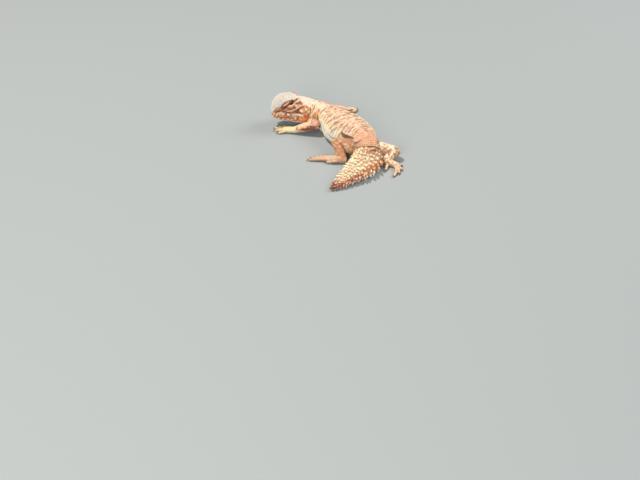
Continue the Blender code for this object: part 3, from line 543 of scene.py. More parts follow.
# Every stretch of a leg, for the skin's coordinates: leg, toe (0 is the leg itself), how far from
# the leg's root it starts, its centre line, and its half width and half height at each point.
stretches, leg_solids, claw_roots = [], [], {}
for limb_index, (key, joints) in enumerate(JOINTS.items()):
    kind, side_name = key.split("_")
    root, bend, ankle, ball_of_foot = (np.array(point) for point in joints)
    mirror = 1 if side_name == "left" else -1
    travelled = 0.0
    for (first, last), girth, flat in zip(
        ((root, bend), (bend, ankle), (ankle, ball_of_foot)), GIRTHS[kind], (1.0, 1.0, SOLE_FLATNESS)
    ):
        share = np.linspace(0, 1, LEG_STEPS)
        path = first + share[:, None] * (last - first)
        wide = ease(((0, girth[0]), (0.5, girth[1]), (1, girth[2])), share) - LIMB_COAT
        stretches.append((limb_index, 0, travelled, path, wide, wide * flat))
        leg_solids.append(tube(path, wide, wide * flat, LEG_ROUND))
        travelled += float(np.linalg.norm(last - first))
    ahead = (ball_of_foot - ankle)[:2]
    heading = math.atan2(ahead[1], ahead[0])
    across = np.array([-math.sin(heading), math.cos(heading)]) * mirror
    radius, sole_length = TOE_RADIUS[kind], float(np.linalg.norm(ball_of_foot - ankle))
    for number, (along, aside, spread, length, curl) in enumerate(TOES[key], start=1):
        start = ankle + along * (ball_of_foot - ankle)
        start[:2] += aside * across
        start[2] = max(start[2] * 0.8, radius)
        angles = heading + mirror * math.radians(spread), mirror * math.radians(curl)
        coarse = toe_path(start, *angles, length, radius)
        wide = np.interp(np.linspace(0, 1, len(coarse)), (0, 0.5, 1), (1.1, 1.0, 0.78)) * radius
        path, wide = finer(coarse, wide, TOE_STEPS)
        knuckles = 0.09 * np.cos(np.linspace(0, 2 * math.pi * (2 + (length > 9)), TOE_STEPS))
        wide = wide * (1 - 0.05 + knuckles) - LIMB_COAT / 2
        begins = travelled - (1 - along) * sole_length
        stretches.append((limb_index, number, begins, path, wide, wide * TOE_FLATNESS))
        leg_solids.append(tube(path, wide, wide * TOE_FLATNESS, TOE_ROUND))
        way = (coarse[-1] - coarse[-2]) * (1, 1, 0)
        claw_roots[key, number] = (coarse[-1], way / np.linalg.norm(way))


def apply_modifiers(target):
    """Replaces an object's mesh by its evaluated one and drops its modifiers."""
    graph = bpy.context.evaluated_depsgraph_get()
    mesh = bpy.data.meshes.new_from_object(target.evaluated_get(graph))
    target.modifiers.clear()
    old, target.data = target.data, mesh
    bpy.data.meshes.remove(old)


def combine(target, others, operation):
    """Joins the other objects to the target, or cuts them from it, and removes them."""
    tools = bpy.data.collections.new("tools")
    bpy.context.scene.collection.children.link(tools)
    for other in others:
        bpy.context.scene.collection.objects.unlink(other)
        tools.objects.link(other)
    modifier = target.modifiers.new(operation.title(), "BOOLEAN")
    modifier.operation = operation
    modifier.operand_type = "COLLECTION"
    modifier.collection = tools
    modifier.solver = "MANIFOLD"
    apply_modifiers(target)
    for other in others:
        bpy.data.objects.remove(other)
    bpy.data.collections.remove(tools)


combine(skin, [new_object("leg", *solid) for solid in leg_solids], "UNION")

# ------------------------------------------------------------------ openings of the head
# The eyes lie in sockets behind a slit between two thick lids that rises towards the back. The
# nostrils are short pits high on the snout, and each ear is an upright oval cup with its drum.

EYE_AT, EYE_HEIGHT, EYE_SIDE, EYE_RADIUS = 16.6, 22.9, 7.0, 2.6
EYE_CLEARANCE = 0.12
GAZE_UP = math.radians(35)  # the slit faces outwards and this much upwards
LID_OPENING = (2.9, 2.2, 0.66)  # half length, half depth, half height
LID_TILT = math.radians(27)
NOSTRIL_AT, NOSTRIL_HEIGHT, NOSTRIL_SIZE = 3.9, 17.6, (0.62, 1.5, 0.55)
EAR_AT, EAR_HEIGHT, EAR_SIZE = 32.4, 14.2, (1.0, 1.5, 2.5)
HEAD_TURN = float(np.interp(14.0, LINE_AT, LINE_TURN))


def head_point(s, side, height):
    centre, _, left = line_at(s)
    return np.append(centre + side * left, height)


def lids_centre(side):
    """The middle of the slit between the lids, side 1 on the left and -1 on the right."""
    out = side * (EYE_SIDE + EYE_RADIUS * math.cos(GAZE_UP))
    return head_point(EYE_AT, out, EYE_HEIGHT + EYE_RADIUS * math.sin(GAZE_UP))


def ball(name, centre, sizes, tilt=0.0, segments=36, rings=24):
    """An oval solid whose length lies along the head and falls forwards by tilt."""
    work = bmesh.new()
    bmesh.ops.create_uvsphere(work, u_segments=segments, v_segments=rings, radius=1.0)
    points = np.array([v.co for v in work.verts]) * np.array(sizes)
    faces = [tuple(v.index for v in f.verts) for f in work.faces]
    work.free()
    ahead = np.array([math.cos(HEAD_TURN), math.sin(HEAD_TURN), 0.0])
    left = np.array([-ahead[1], ahead[0], 0.0])
    raised = points[:, 0] * math.sin(tilt) + points[:, 2] * math.cos(tilt)
    forward = points[:, 0] * math.cos(tilt) - points[:, 2] * math.sin(tilt)
    placed = centre + np.outer(forward, ahead) + np.outer(points[:, 1], left) + np.outer(raised, (0, 0, 1))
    return new_object(name, placed, faces)


# The dark share of each pit is painted shade inside the opening.
cutters, pits = [], []  # each pit: its middle, its size and the share of that which is dark
for side in (1, -1):
    eye_at = head_point(EYE_AT, side * EYE_SIDE, EYE_HEIGHT)
    cutters.append(ball("socket", eye_at, (EYE_RADIUS + EYE_CLEARANCE,) * 3))
    lids_at = lids_centre(side)
    cutters.append(ball("slit", lids_at, LID_OPENING, -LID_TILT))
    half, _ = section(NOSTRIL_AT, math.radians(20))
    nostril_at = head_point(NOSTRIL_AT, side * (float(half) + 0.4), NOSTRIL_HEIGHT)
    cutters.append(ball("nostril", nostril_at, NOSTRIL_SIZE, 0.4, 20, 12))
    width, _ = section(EAR_AT, 0.0)
    ear_at = head_point(EAR_AT, side * float(width), EAR_HEIGHT)
    cutters.append(ball("ear", ear_at, EAR_SIZE, 0.15))
    pits += [(lids_at, 2.6, 0.36), (nostril_at, 0.8, 0.55), (ear_at, 1.6, 0.55)]
combine(skin, cutters, "DIFFERENCE")

# ------------------------------------------------------------------ places on the body
# Every point of skin and coat is known by its place: arc length and angle on the trunk, or leg,
# distance from the leg's root and angle round it. Folds, scales and markings all follow these.


def mesh_points(mesh):
    points = np.empty(len(mesh.vertices) * 3)
    mesh.vertices.foreach_get("co", points)
    return points.reshape(-1, 3) / MM


BLOCK = 8000  # points that are looked up at once


def trunk_place(points):
    """Arc length and angle of points near the trunk, and their height over its skin."""
    s = np.empty(len(points))
    for start in range(0, len(points), BLOCK):
        block = points[start:start + BLOCK, :2]
        far = ((block[:, None] - LINE_XY[None, ::2]) ** 2).sum(-1)
        s[start:start + BLOCK] = LINE_AT[::2][far.argmin(1)]
    for _ in range(2):
        centre, ahead, _ = line_at(s)
        s = np.clip(s - ((points[:, :2] - centre) * ahead).sum(1), 0, BODY_LENGTH)
    centre, _, left = line_at(s)
    side = ((points[:, :2] - centre) * left).sum(1)
    half, middle, rise, drop, upper, lower = (np.interp(s, LINE_AT, row) for row in PROFILES)
    up = points[:, 2] - middle
    power = np.where(up > 0, upper, lower) / 2
    across = np.sign(side) * (np.abs(side) / half) ** power
    tall = np.sign(up) * (np.abs(up) / np.where(up > 0, rise, drop)) ** power
    angle = np.arctan2(tall, across)
    on_skin = trunk_points(s, angle)
    reach = np.hypot(((on_skin[:, :2] - centre) * left).sum(1), on_skin[:, 2] - middle)
    return s, angle, np.hypot(side, up) - reach


def limb_place(points):
    """Leg, toe, way from the root, turn round it, height over its skin and direction, by name."""
    count = len(points)
    best = {name: np.zeros(count) for name in ("limb", "toe", "reach", "turn")}
    best.update(lift=np.full(count, 99.0), way=np.tile((1.0, 0.0, 0.0), (count, 1)))
    for limb_index, toe, start, path, wide, tall in stretches:
        near = np.flatnonzero(((points > path.min(0) - 9) & (points < path.max(0) + 9)).all(1))
        if not len(near):
            continue
        line = path[:: LEG_STEPS - 1 if toe == 0 else (TOE_STEPS - 1) // 5]
        first, step = line[:-1], np.diff(line, axis=0)
        length = np.linalg.norm(step, axis=1)
        off = points[near, None] - first
        share = np.clip((off * step).sum(-1) / length**2, 0, 1)
        gap = off - share[..., None] * step
        pick = np.linalg.norm(gap, axis=-1).argmin(1)
        rows = np.arange(len(near))
        share, gap, way = share[rows, pick], gap[rows, pick], step[pick] / length[pick, None]
        along = (pick + share) / len(step)
        w, t = (np.interp(along, np.linspace(0, 1, len(path)), v) for v in (wide, tall))
        side = np.cross((0, 0, 1), way)
        side /= np.linalg.norm(side, axis=1)[:, None]
        over = np.cross(way, side)
        a, b, c = (gap * side).sum(1), (gap * over).sum(1), (gap * way).sum(1)
        lift = (np.sqrt((a / w) ** 2 + (b / t) ** 2 + (c / t) ** 2) - 1) * np.sqrt(w * t)
        better = lift < best["lift"][near]
        chosen = near[better]
        best["lift"][chosen] = lift[better]
        best["limb"][chosen] = limb_index
        best["toe"][chosen] = toe
        best["reach"][chosen] = start + (along * length.sum())[better]
        best["turn"][chosen] = np.arctan2(b, a)[better]
        best["way"][chosen] = way[better]
    return best


def smooth(points, edges, weight, rounds):
    """Points drawn towards the mean of their neighbours, by their weight."""
    points = points.copy()
    count = np.bincount(edges.ravel(), minlength=len(points))[:, None]
    for _ in range(rounds):
        total = np.zeros_like(points)
        for k in range(3):
            total[:, k] = np.bincount(edges[:, 0], points[edges[:, 1], k], len(points))
            total[:, k] += np.bincount(edges[:, 1], points[edges[:, 0], k], len(points))
        points += weight[:, None] * (total / count - points)
    return points


# Fillets where legs grow from the trunk, and softened edges of lids, toes and openings.
edges = np.empty(len(skin.data.edges) * 2, np.int32)
skin.data.edges.foreach_get("vertices", edges)
edges = edges.reshape(-1, 2)
points = mesh_points(skin.data)
_, _, trunk_lift = trunk_place(points)
limb_lift = limb_place(points)["lift"]
fillet = np.clip(1.15 - np.maximum(np.abs(trunk_lift), np.abs(limb_lift)) / 1.5, 0, 1)
points = smooth(points, edges, 0.9 * fillet, 14)
near_pit = np.zeros(len(points))
for centre, size, _ in pits:
    near_pit = np.maximum(near_pit, np.exp(-((np.linalg.norm(points - centre, axis=1) / size) ** 4)))
on_limb = np.clip((trunk_lift - limb_lift) / 0.6 + 0.5, 0, 1)
points = smooth(points, edges, np.maximum(0.5 * near_pit, 0.6 * on_limb), 3)
points[:, 2] = np.maximum(points[:, 2], 0.1)
skin.data.vertices.foreach_set("co", (points * MM).ravel())
skin.data.update()

# ------------------------------------------------------------------ the hide's markings
# The back is tan-orange, crossed by brown lines in its folds, with painted shade in the folds and painted
# highlights on their crests. Flanks and belly are cream, the crown is pale, a dark streak runs from snout
# through eye, and the throat is bright orange. Painted shade also lies under the brow, in the mouth line,
# over the left thigh, in the openings, round the legs' roots and at the scales' bases; painted highlights
# pale the tops of the forearms and the right hind leg, and the tail's right side is orange partly as
# painted shade.


class Wire:
    """An output of a material's or a geometry's nodes. Arithmetic on it adds the nodes it needs."""

    def __init__(self, tree, socket):
        self.tree, self.socket = tree, socket

    def maths(self, operation, *values):
        return add_node(self.tree, "ShaderNodeMath", {"operation": operation}, dict(enumerate(values)))

    def __add__(self, other):
        return self.maths("ADD", self, other)

    def __sub__(self, other):
        return self.maths("SUBTRACT", self, other)

    def __rsub__(self, other):
        return self.maths("SUBTRACT", other, self)

    def __mul__(self, other):
        return self.maths("MULTIPLY", self, other)

    __radd__, __rmul__ = __add__, __mul__

    def step(self, low, high):
        """0 below low, 1 above high, smooth between them; the other way round if low is higher."""
        sockets = {"Value": self, "From Min": low, "From Max": high}
        return add_node(self.tree, "ShaderNodeMapRange", {"interpolation_type": "SMOOTHSTEP"}, sockets)


def add_node(tree, kind, settings, sockets, output=0):
    """A node: its settings first, then its sockets' values or links. Gives the Wire of one output."""
    node = tree.nodes.new(kind)
    for name, value in settings.items():
        setattr(node, name, value)
    for name, value in sockets.items():
        socket = node.inputs[name]
        if isinstance(value, Wire):
            tree.links.new(value.socket, socket)
        else:
            socket.default_value = value
    return Wire(tree, node.outputs[output])


def paint(red, green, blue):
    """A colour for a socket, from the 0 to 255 of a colour chart."""
    return (*(((v / 255 + 0.055) / 1.055) ** 2.4 if v > 10 else v / 3294 for v in (red, green, blue)), 1.0)


def mix(tree, share, first, second, how="MIX"):
    settings = {"data_type": "RGBA", "blend_type": how}
    return add_node(tree, "ShaderNodeMix", settings, {0: share, 6: first, 7: second}, 2)


TAN, DEEP_TAN, CREAM = paint(252, 222, 194), paint(222, 168, 132), paint(244, 232, 192)
SHADE_AND_SPECK_BROWN, MARK_AND_SHADE_BROWN, ORANGE = paint(118, 66, 36), paint(88, 42, 18), paint(248, 170, 112)
BELLY_CREAM, CROWN_PALE, CROWN_PINK = paint(232, 228, 208), paint(200, 201, 194), paint(236, 220, 206)
CHEEK, CHEEK_DARK, CHEEK_PALE = paint(220, 156, 112), paint(156, 92, 58), paint(252, 214, 176)
NECK_TAN, JAW_ORANGE = paint(230, 174, 118), paint(255, 160, 84)
BACK_CREAM, SPOT_PALE = paint(255, 238, 212), paint(255, 238, 206)
ARM_PINK, DARK_RED_AND_SHADE, LEG_TAN = paint(228, 176, 150), paint(134, 54, 32), paint(204, 154, 112)
HAND_CREAM, SPINE_CREAM, SPINE_ROOT = paint(250, 236, 190), paint(250, 232, 196), paint(190, 122, 84)
LINE_RED, FOOT_PINK = paint(140, 72, 38), paint(242, 216, 184)
TAIL_END, TAIL_RED = paint(128, 76, 54), paint(200, 124, 98)
PIT_SHADE, LEG_CREAM = paint(34, 16, 10), paint(255, 244, 212)
# How far down from the crown's middle the pale crown reaches, by arc length.
CROWN_EDGE = (
    (0, 7.8), (2.5, 8.8), (5.7, 10.8), (8.1, 10.8), (10.5, 8.6), (12.3, 7.4), (16.2, 6.2), (19, 5.0),
    (20.5, 3.4), (22.5, 1.6), (23.6, 3.2), (25, 5.6), (36, 7.5),
)
# Upper edge of the cream of the flanks, by arc length.
FLANK_EDGE = (
    (40, 11.5), (50.8, 12.4), (57.4, 14.9), (63.4, 16.4), (68, 16.6), (72.7, 15.4), (76.4, 16.1),
    (100, 13.0),
)
THROAT = (
    ((24.4, 18.2, 0.5), (25.6, 17.8, 1.1), (27.2, 20.0, 2.5), (25.2, 22.2, 1.8), (23.2, 23.2, 1.0)),
    ((29.4, 13.4, 0.7), (30.1, 16.6, 1.1), (29.5, 19.0, 1.3)),
)
# Orange low on the tail's right side only, partly its own colour and partly painted shade.
TAIL_ORANGE_AND_SHADE = (
    ((106.0, -16.6, 1.8), (108.0, -16.0, 2.0), (114.0, -12.0, 2.0), (118.3, -9.6, 1.9),
     (123.7, -7.8, 1.7), (126.0, -7.2, 1.0)),
    ((126.0, -9.2, 1.9), (132.0, -8.0, 2.3), (138.0, -6.4, 2.2), (144.0, -4.6, 1.8), (150.0, -2.8, 1.2)),
)
# Dark red of the forearms, partly painted shade on their lower outer sides, and lines of the legs,
# by the leg's number in JOINTS: way from the leg's root, turn round it in steps of TURN_STEP degrees, half
# width.
TURN_STEP = 12
LIMB_STREAKS = {
    0: (
        ((8.0, -3.8, 1.7), (12.0, -2.3, 2.3), (15.0, -1.4, 2.4), (18.0, -0.9, 2.3), (21.0, 0.2, 1.7),
         (23.5, 1.0, 0.7)),
        ((9.0, -0.6, 0.5), (12.0, 0.9, 0.7), (15.0, 1.8, 0.7), (17.5, 2.3, 0.4)),
        ((25.4, 5.4, 0.5), (26.6, 2.0, 0.5)),
        ((6.0, 6.6, 0.4), (8.0, 3.6, 0.5), (9.6, 1.6, 0.4)),
        ((12.6, 7.2, 0.3), (13.4, 5.0, 0.4)),
    ),
    1: (
        ((8.0, -4.4, 1.5), (12.0, -3.1, 1.9), (15.0, -2.3, 1.9), (18.0, -1.8, 1.9), (22.0, -0.4, 1.4),
         (25.0, 2.0, 1.0), (29.0, 2.6, 1.1)),
    ),
    2: (
        ((16.4, 4.2, 0.35), (15.0, 3.0, 0.4), (13.0, 1.2, 0.45), (11.0, -1.5, 0.4)),
        ((22.0, 3.6, 0.4), (24.4, 1.0, 0.5), (25.2, -1.4, 0.5)),
        ((19.4, -1.0, 0.35), (20.6, -3.0, 0.5)),
        ((31.0, 4.0, 0.4), (31.6, 0.5, 0.5)),
    ),
    3: (
        ((18.0, 9.4, 0.35), (19.4, 7.6, 0.4), (20.0, 6.1, 0.35)),
        ((24.0, 8.8, 0.35), (24.8, 6.4, 0.4), (25.2, 4.4, 0.35)),
        ((28.4, 6.6, 0.35), (27.6, 4.0, 0.35)),
        ((20.0, 2.9, 0.3), (21.6, 1.0, 0.3)),
    ),
}


def limb_streaks(leg):
    """0 to 1: the dark lines of the legs, mirrored on the right arm, and the sides of the toes."""
    turn = np.degrees(leg["turn"])
    mirrored = (180 - turn + 180) % 360 - 180
    most = np.zeros(len(turn))
    for limb, paths in LIMB_STREAKS.items():
        here = leg["limb"] == limb
        most[here] = strokes(paths, leg["reach"][here], (mirrored if limb == 1 else turn)[here] / TURN_STEP)
    on_side = np.clip((np.abs(np.cos(leg["turn"])) - 0.7) / 0.2, 0, 1)
    beside_toe = 0.55 * on_side * np.clip((leg["reach"] - 29) / 2, 0, 1)
    return np.where(leg["toe"] == 0, most, beside_toe)


def hide_colour(tree):
    """The markings, with painted shade and highlights, for skin and scales alike, from each point's place
    on the body.
    """

    def fact(name):
        return add_node(tree, "ShaderNodeAttribute", {"attribute_name": name}, {}, 2)

    along, crest, limb, arm, reach = (fact(name) for name in ("along", "crest", "limb", "arm", "reach"))
    fold_and_joint_shade, tint, pit_shade, rise, down = (fact(name) for name in ("fold_and_joint_shade", "tint", "pit_shade", "rise", "down"))
    place = add_node(tree, "ShaderNodeTexCoord", {}, {}, 3)
    blotch = add_node(tree, "ShaderNodeTexNoise", {}, {"Vector": place, "Scale": 260.0, "Detail": 3.0})
    cells = add_node(tree, "ShaderNodeTexNoise", {}, {"Vector": place, "Scale": 430.0, "Detail": 1.5})
    speck = add_node(tree, "ShaderNodeTexNoise", {}, {"Vector": place, "Scale": 900.0, "Detail": 2.0})

    # Back, deeper towards the hips.
    back = mix(tree, (cells + (tint - 0.5) * 0.3).step(0.34, 0.58), DEEP_TAN, TAN)
    back = mix(tree, (tint * 0.4 + blotch).step(0.72, 1.0) * 0.5, back, BACK_CREAM)
    # painted highlight on the crests between the folds
    back = mix(tree, fact("fold_crest_highlight") * 0.75, back, BACK_CREAM)
    back = mix(tree, along.step(82, 96) * (cells.step(0.6, 0.45) * 0.3 + 0.65), back, DEEP_TAN)
    # Flanks and belly.
    lower = fact("flank") + (blotch - 0.5) * 3
    trunk = mix(tree, lower.step(-8.0, 0.0) * 0.6, back, CREAM)
    trunk = mix(tree, lower.step(-0.6, 0.8) * 0.9, trunk, CREAM)
    trunk = mix(tree, lower.step(0.6, 1.8), trunk, BELLY_CREAM)
    trunk = mix(tree, crest.step(-0.1, -0.6), trunk, BELLY_CREAM)
    # Neck, pale along its top.
    neck = along.step(30, 36) * along.step(50, 42)
    trunk = mix(tree, neck * down.step(7.5, 4.0) * (tint.step(0.2, 0.9) * 0.5 + 0.3), trunk, BACK_CREAM)
    trunk = mix(tree, neck * down.step(4.5, 8.0) * (tint.step(0.9, 0.2) * 0.4 + 0.6), trunk, NECK_TAN)

    # Head: cheeks, crown, chin and throat, then the dark lines, some of them painted shade, and pale spots.
    face = mix(tree, (cells + (tint - 0.5) * 0.35).step(0.3, 0.5), CHEEK_DARK, CHEEK)
    face = mix(tree, (cells + (tint - 0.5) * 0.35).step(0.58, 0.76) * 0.55, face, CHEEK_PALE)
    crown = mix(tree, along.step(14, 24) * 0.85, CROWN_PALE, CROWN_PINK)
    crown = mix(tree, along.step(8, 2) * 0.4, crown, BELLY_CREAM)
    crown = mix(tree, (cells + (tint - 0.5) * 0.3).step(0.5, 0.36) * 0.25, crown, CHEEK)
    head = mix(tree, fact("crown"), face, crown)
    head = mix(tree, rise.step(9.6, 7.4) * 0.8, head, BELLY_CREAM)
    trunk = mix(tree, along.step(36, 30), trunk, head)
    trunk = mix(tree, fact("warm") * 0.95, trunk, JAW_ORANGE)
    # dark lines, with painted shade under the brow, in the mouth and over the left thigh
    trunk = mix(tree, fact("marks_and_shade_lines") * (1.0 - tint * 0.25), trunk, MARK_AND_SHADE_BROWN)
    trunk = mix(tree, fact("pale"), trunk, SPOT_PALE)

    # Tail: dark between the thorns, orange low on the right, partly its own colour and partly painted shade
    # of the side turned from the key lamp, and red-brown at its end.
    ground = mix(tree, (cells + (tint - 0.5) * 0.2).step(0.4, 0.7), SPINE_ROOT, LEG_TAN)
    # darker ground under the right side's orange, partly painted shade
    ground = mix(tree, fact("right_orange_and_shade") * 0.7, ground, TAIL_END)
    tail = mix(tree, fact("tip").step(-0.1, 0.35), ground, SPINE_CREAM)
    patch = mix(tree, along.step(123, 132), ORANGE, TAIL_RED)
    tail = mix(tree, fact("right_orange_and_shade") * (tint.step(1.0, 0.2) * 0.5 + 0.4), tail, patch)
    tail = mix(tree, (tint * 0.5 + blotch).step(0.62, 0.42) * 0.45, tail, DEEP_TAN)
    tail = mix(tree, along.step(118, 108) * (tint * 0.5 + 0.2), tail, LEG_TAN)
    tail = mix(tree, (along + (tint - 0.5) * 20).step(142, 148) * 0.7, tail, TAIL_RED)
    tail = mix(tree, (along + (tint - 0.5) * 5).step(144.5, 149) * 0.9, tail, TAIL_END)
    tail = mix(tree, crest.step(-0.3, -0.75) * 0.8, tail, BELLY_CREAM)
    tail = mix(tree, fact("marks_and_shade_lines") * (1.0 - tint * 0.5), tail, LINE_RED)
    trunk = mix(tree, (along + (tint - 0.5) * 5).step(100, 106), trunk, tail)

    # Legs, forearms, hands and feet, with painted highlights on the tops of the forearms and the right hind
    # leg.
    # light is a painted highlight that pales the tops of the forearms and the right hind leg
    spots = (tint * 0.25 + blotch + fact("light") * 0.6 - 0.12).step(0.5, 0.66)
    leg = mix(tree, spots * (fact("light") * 0.45 + 0.55), LEG_TAN, LEG_CREAM)
    leg = mix(tree, (cells - tint * 0.1).step(0.46, 0.34) * 0.75, leg, SPINE_ROOT)
    leg = mix(tree, reach.step(34, 42) * (fact("light") * 0.4 + 0.6), leg, FOOT_PINK)
    mottle_and_highlight = tint * 0.3 + cells + fact("light") * 0.4 - 0.1
    forearm = mix(tree, mottle_and_highlight.step(0.56, 0.8), ARM_PINK, CHEEK_PALE)
    forearm = mix(tree, reach.step(12, 8) * (cells.step(0.4, 0.6) * 0.4 + 0.5), forearm, CHEEK_PALE)
    forearm = mix(tree, reach.step(25, 29) * 0.9, forearm, HAND_CREAM)
    limbs = mix(tree, arm, leg, forearm)
    limbs = mix(tree, fact("under") * 0.7, limbs, BELLY_CREAM)
    # dark red lines, on the forearms' lower outer sides partly painted shade
    limbs = mix(tree, fact("side") * (1.0 - tint * 0.3), limbs, DARK_RED_AND_SHADE)
    # Painted shade in the folds and round the legs' roots, fine specks, and painted shade in the openings,
    # over all of it.
    whole = mix(tree, limb, trunk, limbs)
    # painted shade in the folds and round the legs' roots
    whole = mix(tree, fold_and_joint_shade * 0.9, whole, SHADE_AND_SPECK_BROWN)
    whole = mix(tree, speck.step(0.52, 0.72) * (along.step(68, 88) * 0.22 + 0.15), whole, SHADE_AND_SPECK_BROWN)
    # painted shade inside the openings
    return mix(tree, pit_shade, whole, PIT_SHADE), blotch, speck


def hide_material(name, under):
    """Finish of skin or scales: under is how much painted shade darkens the scales' edges, or the skin
    between them.
    """
    made = bpy.data.materials.new(name)
    made.use_nodes = True
    tree = made.node_tree
    shader = tree.nodes["Principled BSDF"]
    colour, blotch, speck = hide_colour(tree)
    tip = add_node(tree, "ShaderNodeAttribute", {"attribute_name": "tip"}, {}, 2)
    # painted shade: darker towards each scale's base, and over the skin between the scales
    colour = mix(tree, tip.step(0.7, 0.0) * under, colour, SHADE_AND_SPECK_BROWN, "MULTIPLY")
    tree.links.new(colour.socket, shader.inputs["Base Color"])
    tree.links.new((0.5 + blotch * 0.2).socket, shader.inputs["Roughness"])
    bump = add_node(tree, "ShaderNodeBump", {}, {"Strength": 0.25, "Distance": 0.0002, "Height": speck})
    tree.links.new(bump.socket, shader.inputs["Normal"])
    return made


def body_facts(points):
    """What the markings and the coat need to know of points in millimetres, by name."""
    s, angle, trunk_lift = trunk_place(points)
    leg = limb_place(points)
    limb = np.clip((trunk_lift - leg["lift"]) / 0.7 + 0.4, 0, 1)
    _, ahead, _ = line_at(s)
    back = np.column_stack([-ahead, np.zeros(len(s))])
    on_leg = limb > 0.5
    # painted shade round the legs' roots, where they grow from the trunk
    joint_shade = np.exp(-((np.maximum(np.abs(trunk_lift), np.abs(leg["lift"])) / 0.9) ** 2))
    down = way_round(s, angle)
    bare = 1 - limb
    signed = np.where(np.cos(angle) > 0, down, -down)
    over_mouth = np.abs(points[:, 2] - ease(MOUTH_LINE, s))
    # painted shade in the groove of the closed mouth
    mouth = np.clip(1.4 - over_mouth / 0.5, 0, 1) * (s < MOUTH_CORNER) * (np.sin(angle) < 0.4)
    head_down = down - RIGHT_LOWER * (signed < 0)
    # the brow line among these is painted shade
    lines = strokes((BROW_SHADE_LINE,) + EYE_STREAK + FACE_CREASES + NECK_CREASES, s, head_down, 0.2)
    leg_turn = np.degrees(leg["turn"])
    # painted shade inside the eye slits, nostrils and ears
    pit_shade = np.zeros(len(points))
    for where, size, dark in pits:
        pit_shade = np.maximum(pit_shade, np.exp(-((np.linalg.norm(points - where, axis=1) / (dark * size)) ** 4)))
    u = 0.01 + 0.98 * s / BODY_LENGTH
    v = 0.40 + 0.58 * ((angle + math.pi / 2) % (2 * math.pi)) / (2 * math.pi)
    round_leg = (leg["turn"] + math.pi) / (2 * math.pi)
    strip = np.where(leg["toe"] == 0, round_leg * 0.16, 0.032 * (leg["toe"] - 1 + round_leg))
    leg_u = 0.01 + 0.5 * (leg["limb"] % 2) + 0.46 * leg["reach"] / 80
    leg_v = 0.02 + 0.18 * (leg["limb"] // 2) + strip
    body_lines = strokes(BODY_LINES, s, signed)
    marks_and_shade = np.maximum.reduce([lines, body_lines, 0.85 * trunk_lines(s, signed), mouth])
    spotted = strokes((NECK_FOLD, WHITE_BAR) + LIP_SPOTS + CHEEK_SPOTS, s, head_down, 0.2)
    banded = 0.6 * strokes((LOWER_LID,) + LIGHT_BANDS, s, head_down, 0.2)
    by_shoulder = strokes(NECK_CREASES, s, head_down) * (leg["reach"] < 9)
    # painted highlights: the top of the right hind leg and a spot on the top of each forearm
    right_leg_top_highlight = np.clip(1.4 - np.abs(leg_turn - 80) / 60, 0, 1)
    forearm_top_highlight = np.clip(1.5 - np.hypot((leg_turn - 75) / 45, (leg["reach"] - 22) / 7), 0, 1)
    return {
        "along": s, "crest": np.sin(angle), "rise": points[:, 2], "down": down, "pit_shade": pit_shade,
        "limb": limb, "arm": (leg["limb"] < 2).astype(float), "reach": leg["reach"],
        "toe": leg["toe"] * on_leg, "lie": np.where(on_leg[:, None], leg["way"], back),
        "root_uv": np.column_stack([np.where(on_leg, leg_u, u), np.where(on_leg, leg_v, v), 0 * u]),
        # painted shade: darker in the valleys of the skin's folds and round the legs' roots
        "fold_and_joint_shade": np.maximum(crease_at(s, angle) * bare, 0.7 * joint_shade),
        # painted highlight: paler on the crests between the skin's folds
        "fold_crest_highlight": ridge_at(s, angle) * bare,
        # dark lines, among them painted shade under the brow, in the mouth and in the slit over the left
        # thigh
        "marks_and_shade_lines": marks_and_shade * bare,
        "pale": np.maximum(spotted, banded) * bare,
        "warm": strokes(THROAT, s, down) * bare,
        "flank": down - ease(FLANK_EDGE, s),
        # orange on the tail's right side, partly painted shade
        "right_orange_and_shade": strokes(TAIL_ORANGE_AND_SHADE, s, signed, 0.8),
        "crown": np.clip((ease(CROWN_EDGE, s) - head_down) / 0.8 + 0.5, 0, 1) * (s < 40),
        "side": np.maximum(limb_streaks(leg), by_shoulder),
        # painted highlight on the top of the right hind leg and of the forearms
        "light": np.where(leg["limb"] == 3, right_leg_top_highlight, forearm_top_highlight * (leg["limb"] < 2)),
        "under": np.clip(-0.35 - 1.2 * np.sin(leg["turn"]), 0, 1),
    }


MARKS = (
    "along", "crest", "limb", "arm", "reach", "fold_and_joint_shade", "pit_shade", "rise", "marks_and_shade_lines", "pale", "warm",
    "crown", "under", "fold_crest_highlight", "down", "side", "flank", "right_orange_and_shade", "light",
)


def write_marks(mesh, facts, **more):
    """Stores numbers by vertex, for the materials."""
    for name, values in {**{name: facts[name] for name in MARKS}, **more}.items():
        layer = mesh.attributes.new(name, "FLOAT", "POINT")
        layer.data.foreach_set("value", np.asarray(values, np.float32))


points = mesh_points(skin.data)
skin_facts = body_facts(points)
# the skin's tip of 0.2 gives it the painted shade between the scales
write_marks(skin.data, skin_facts, tint=np.full(len(points), 0.45), tip=np.full(len(points), 0.2))
skin.data.materials.clear()
skin.data.materials.append(hide_material("hide", 0.35))
flesh = [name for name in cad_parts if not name.startswith(("claw", "eye"))]
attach(skin, "root")
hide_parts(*flesh)

# ------------------------------------------------------------------ how scales are laid
# Every scale is one small closed solid, rooted in the skin and lying backwards along the body.
# A Geometry Nodes tree sets a scale on each root, varies its size and makes one mesh of them all.

skin_tree = BVHTree.FromPolygons(points.tolist(), [tuple(p.vertices) for p in skin.data.polygons])


def settle(places, furthest):
    """Moves places onto the skin: places, outward directions, and which of them were near it."""
    found = [skin_tree.find_nearest(place, furthest) for place in places.tolist()]
    near = np.array([hit[0] is not None for hit in found])
    return (np.array([hit[0] for hit in found if hit[0] is not None]),
            np.array([hit[1] for hit in found if hit[0] is not None]), near)


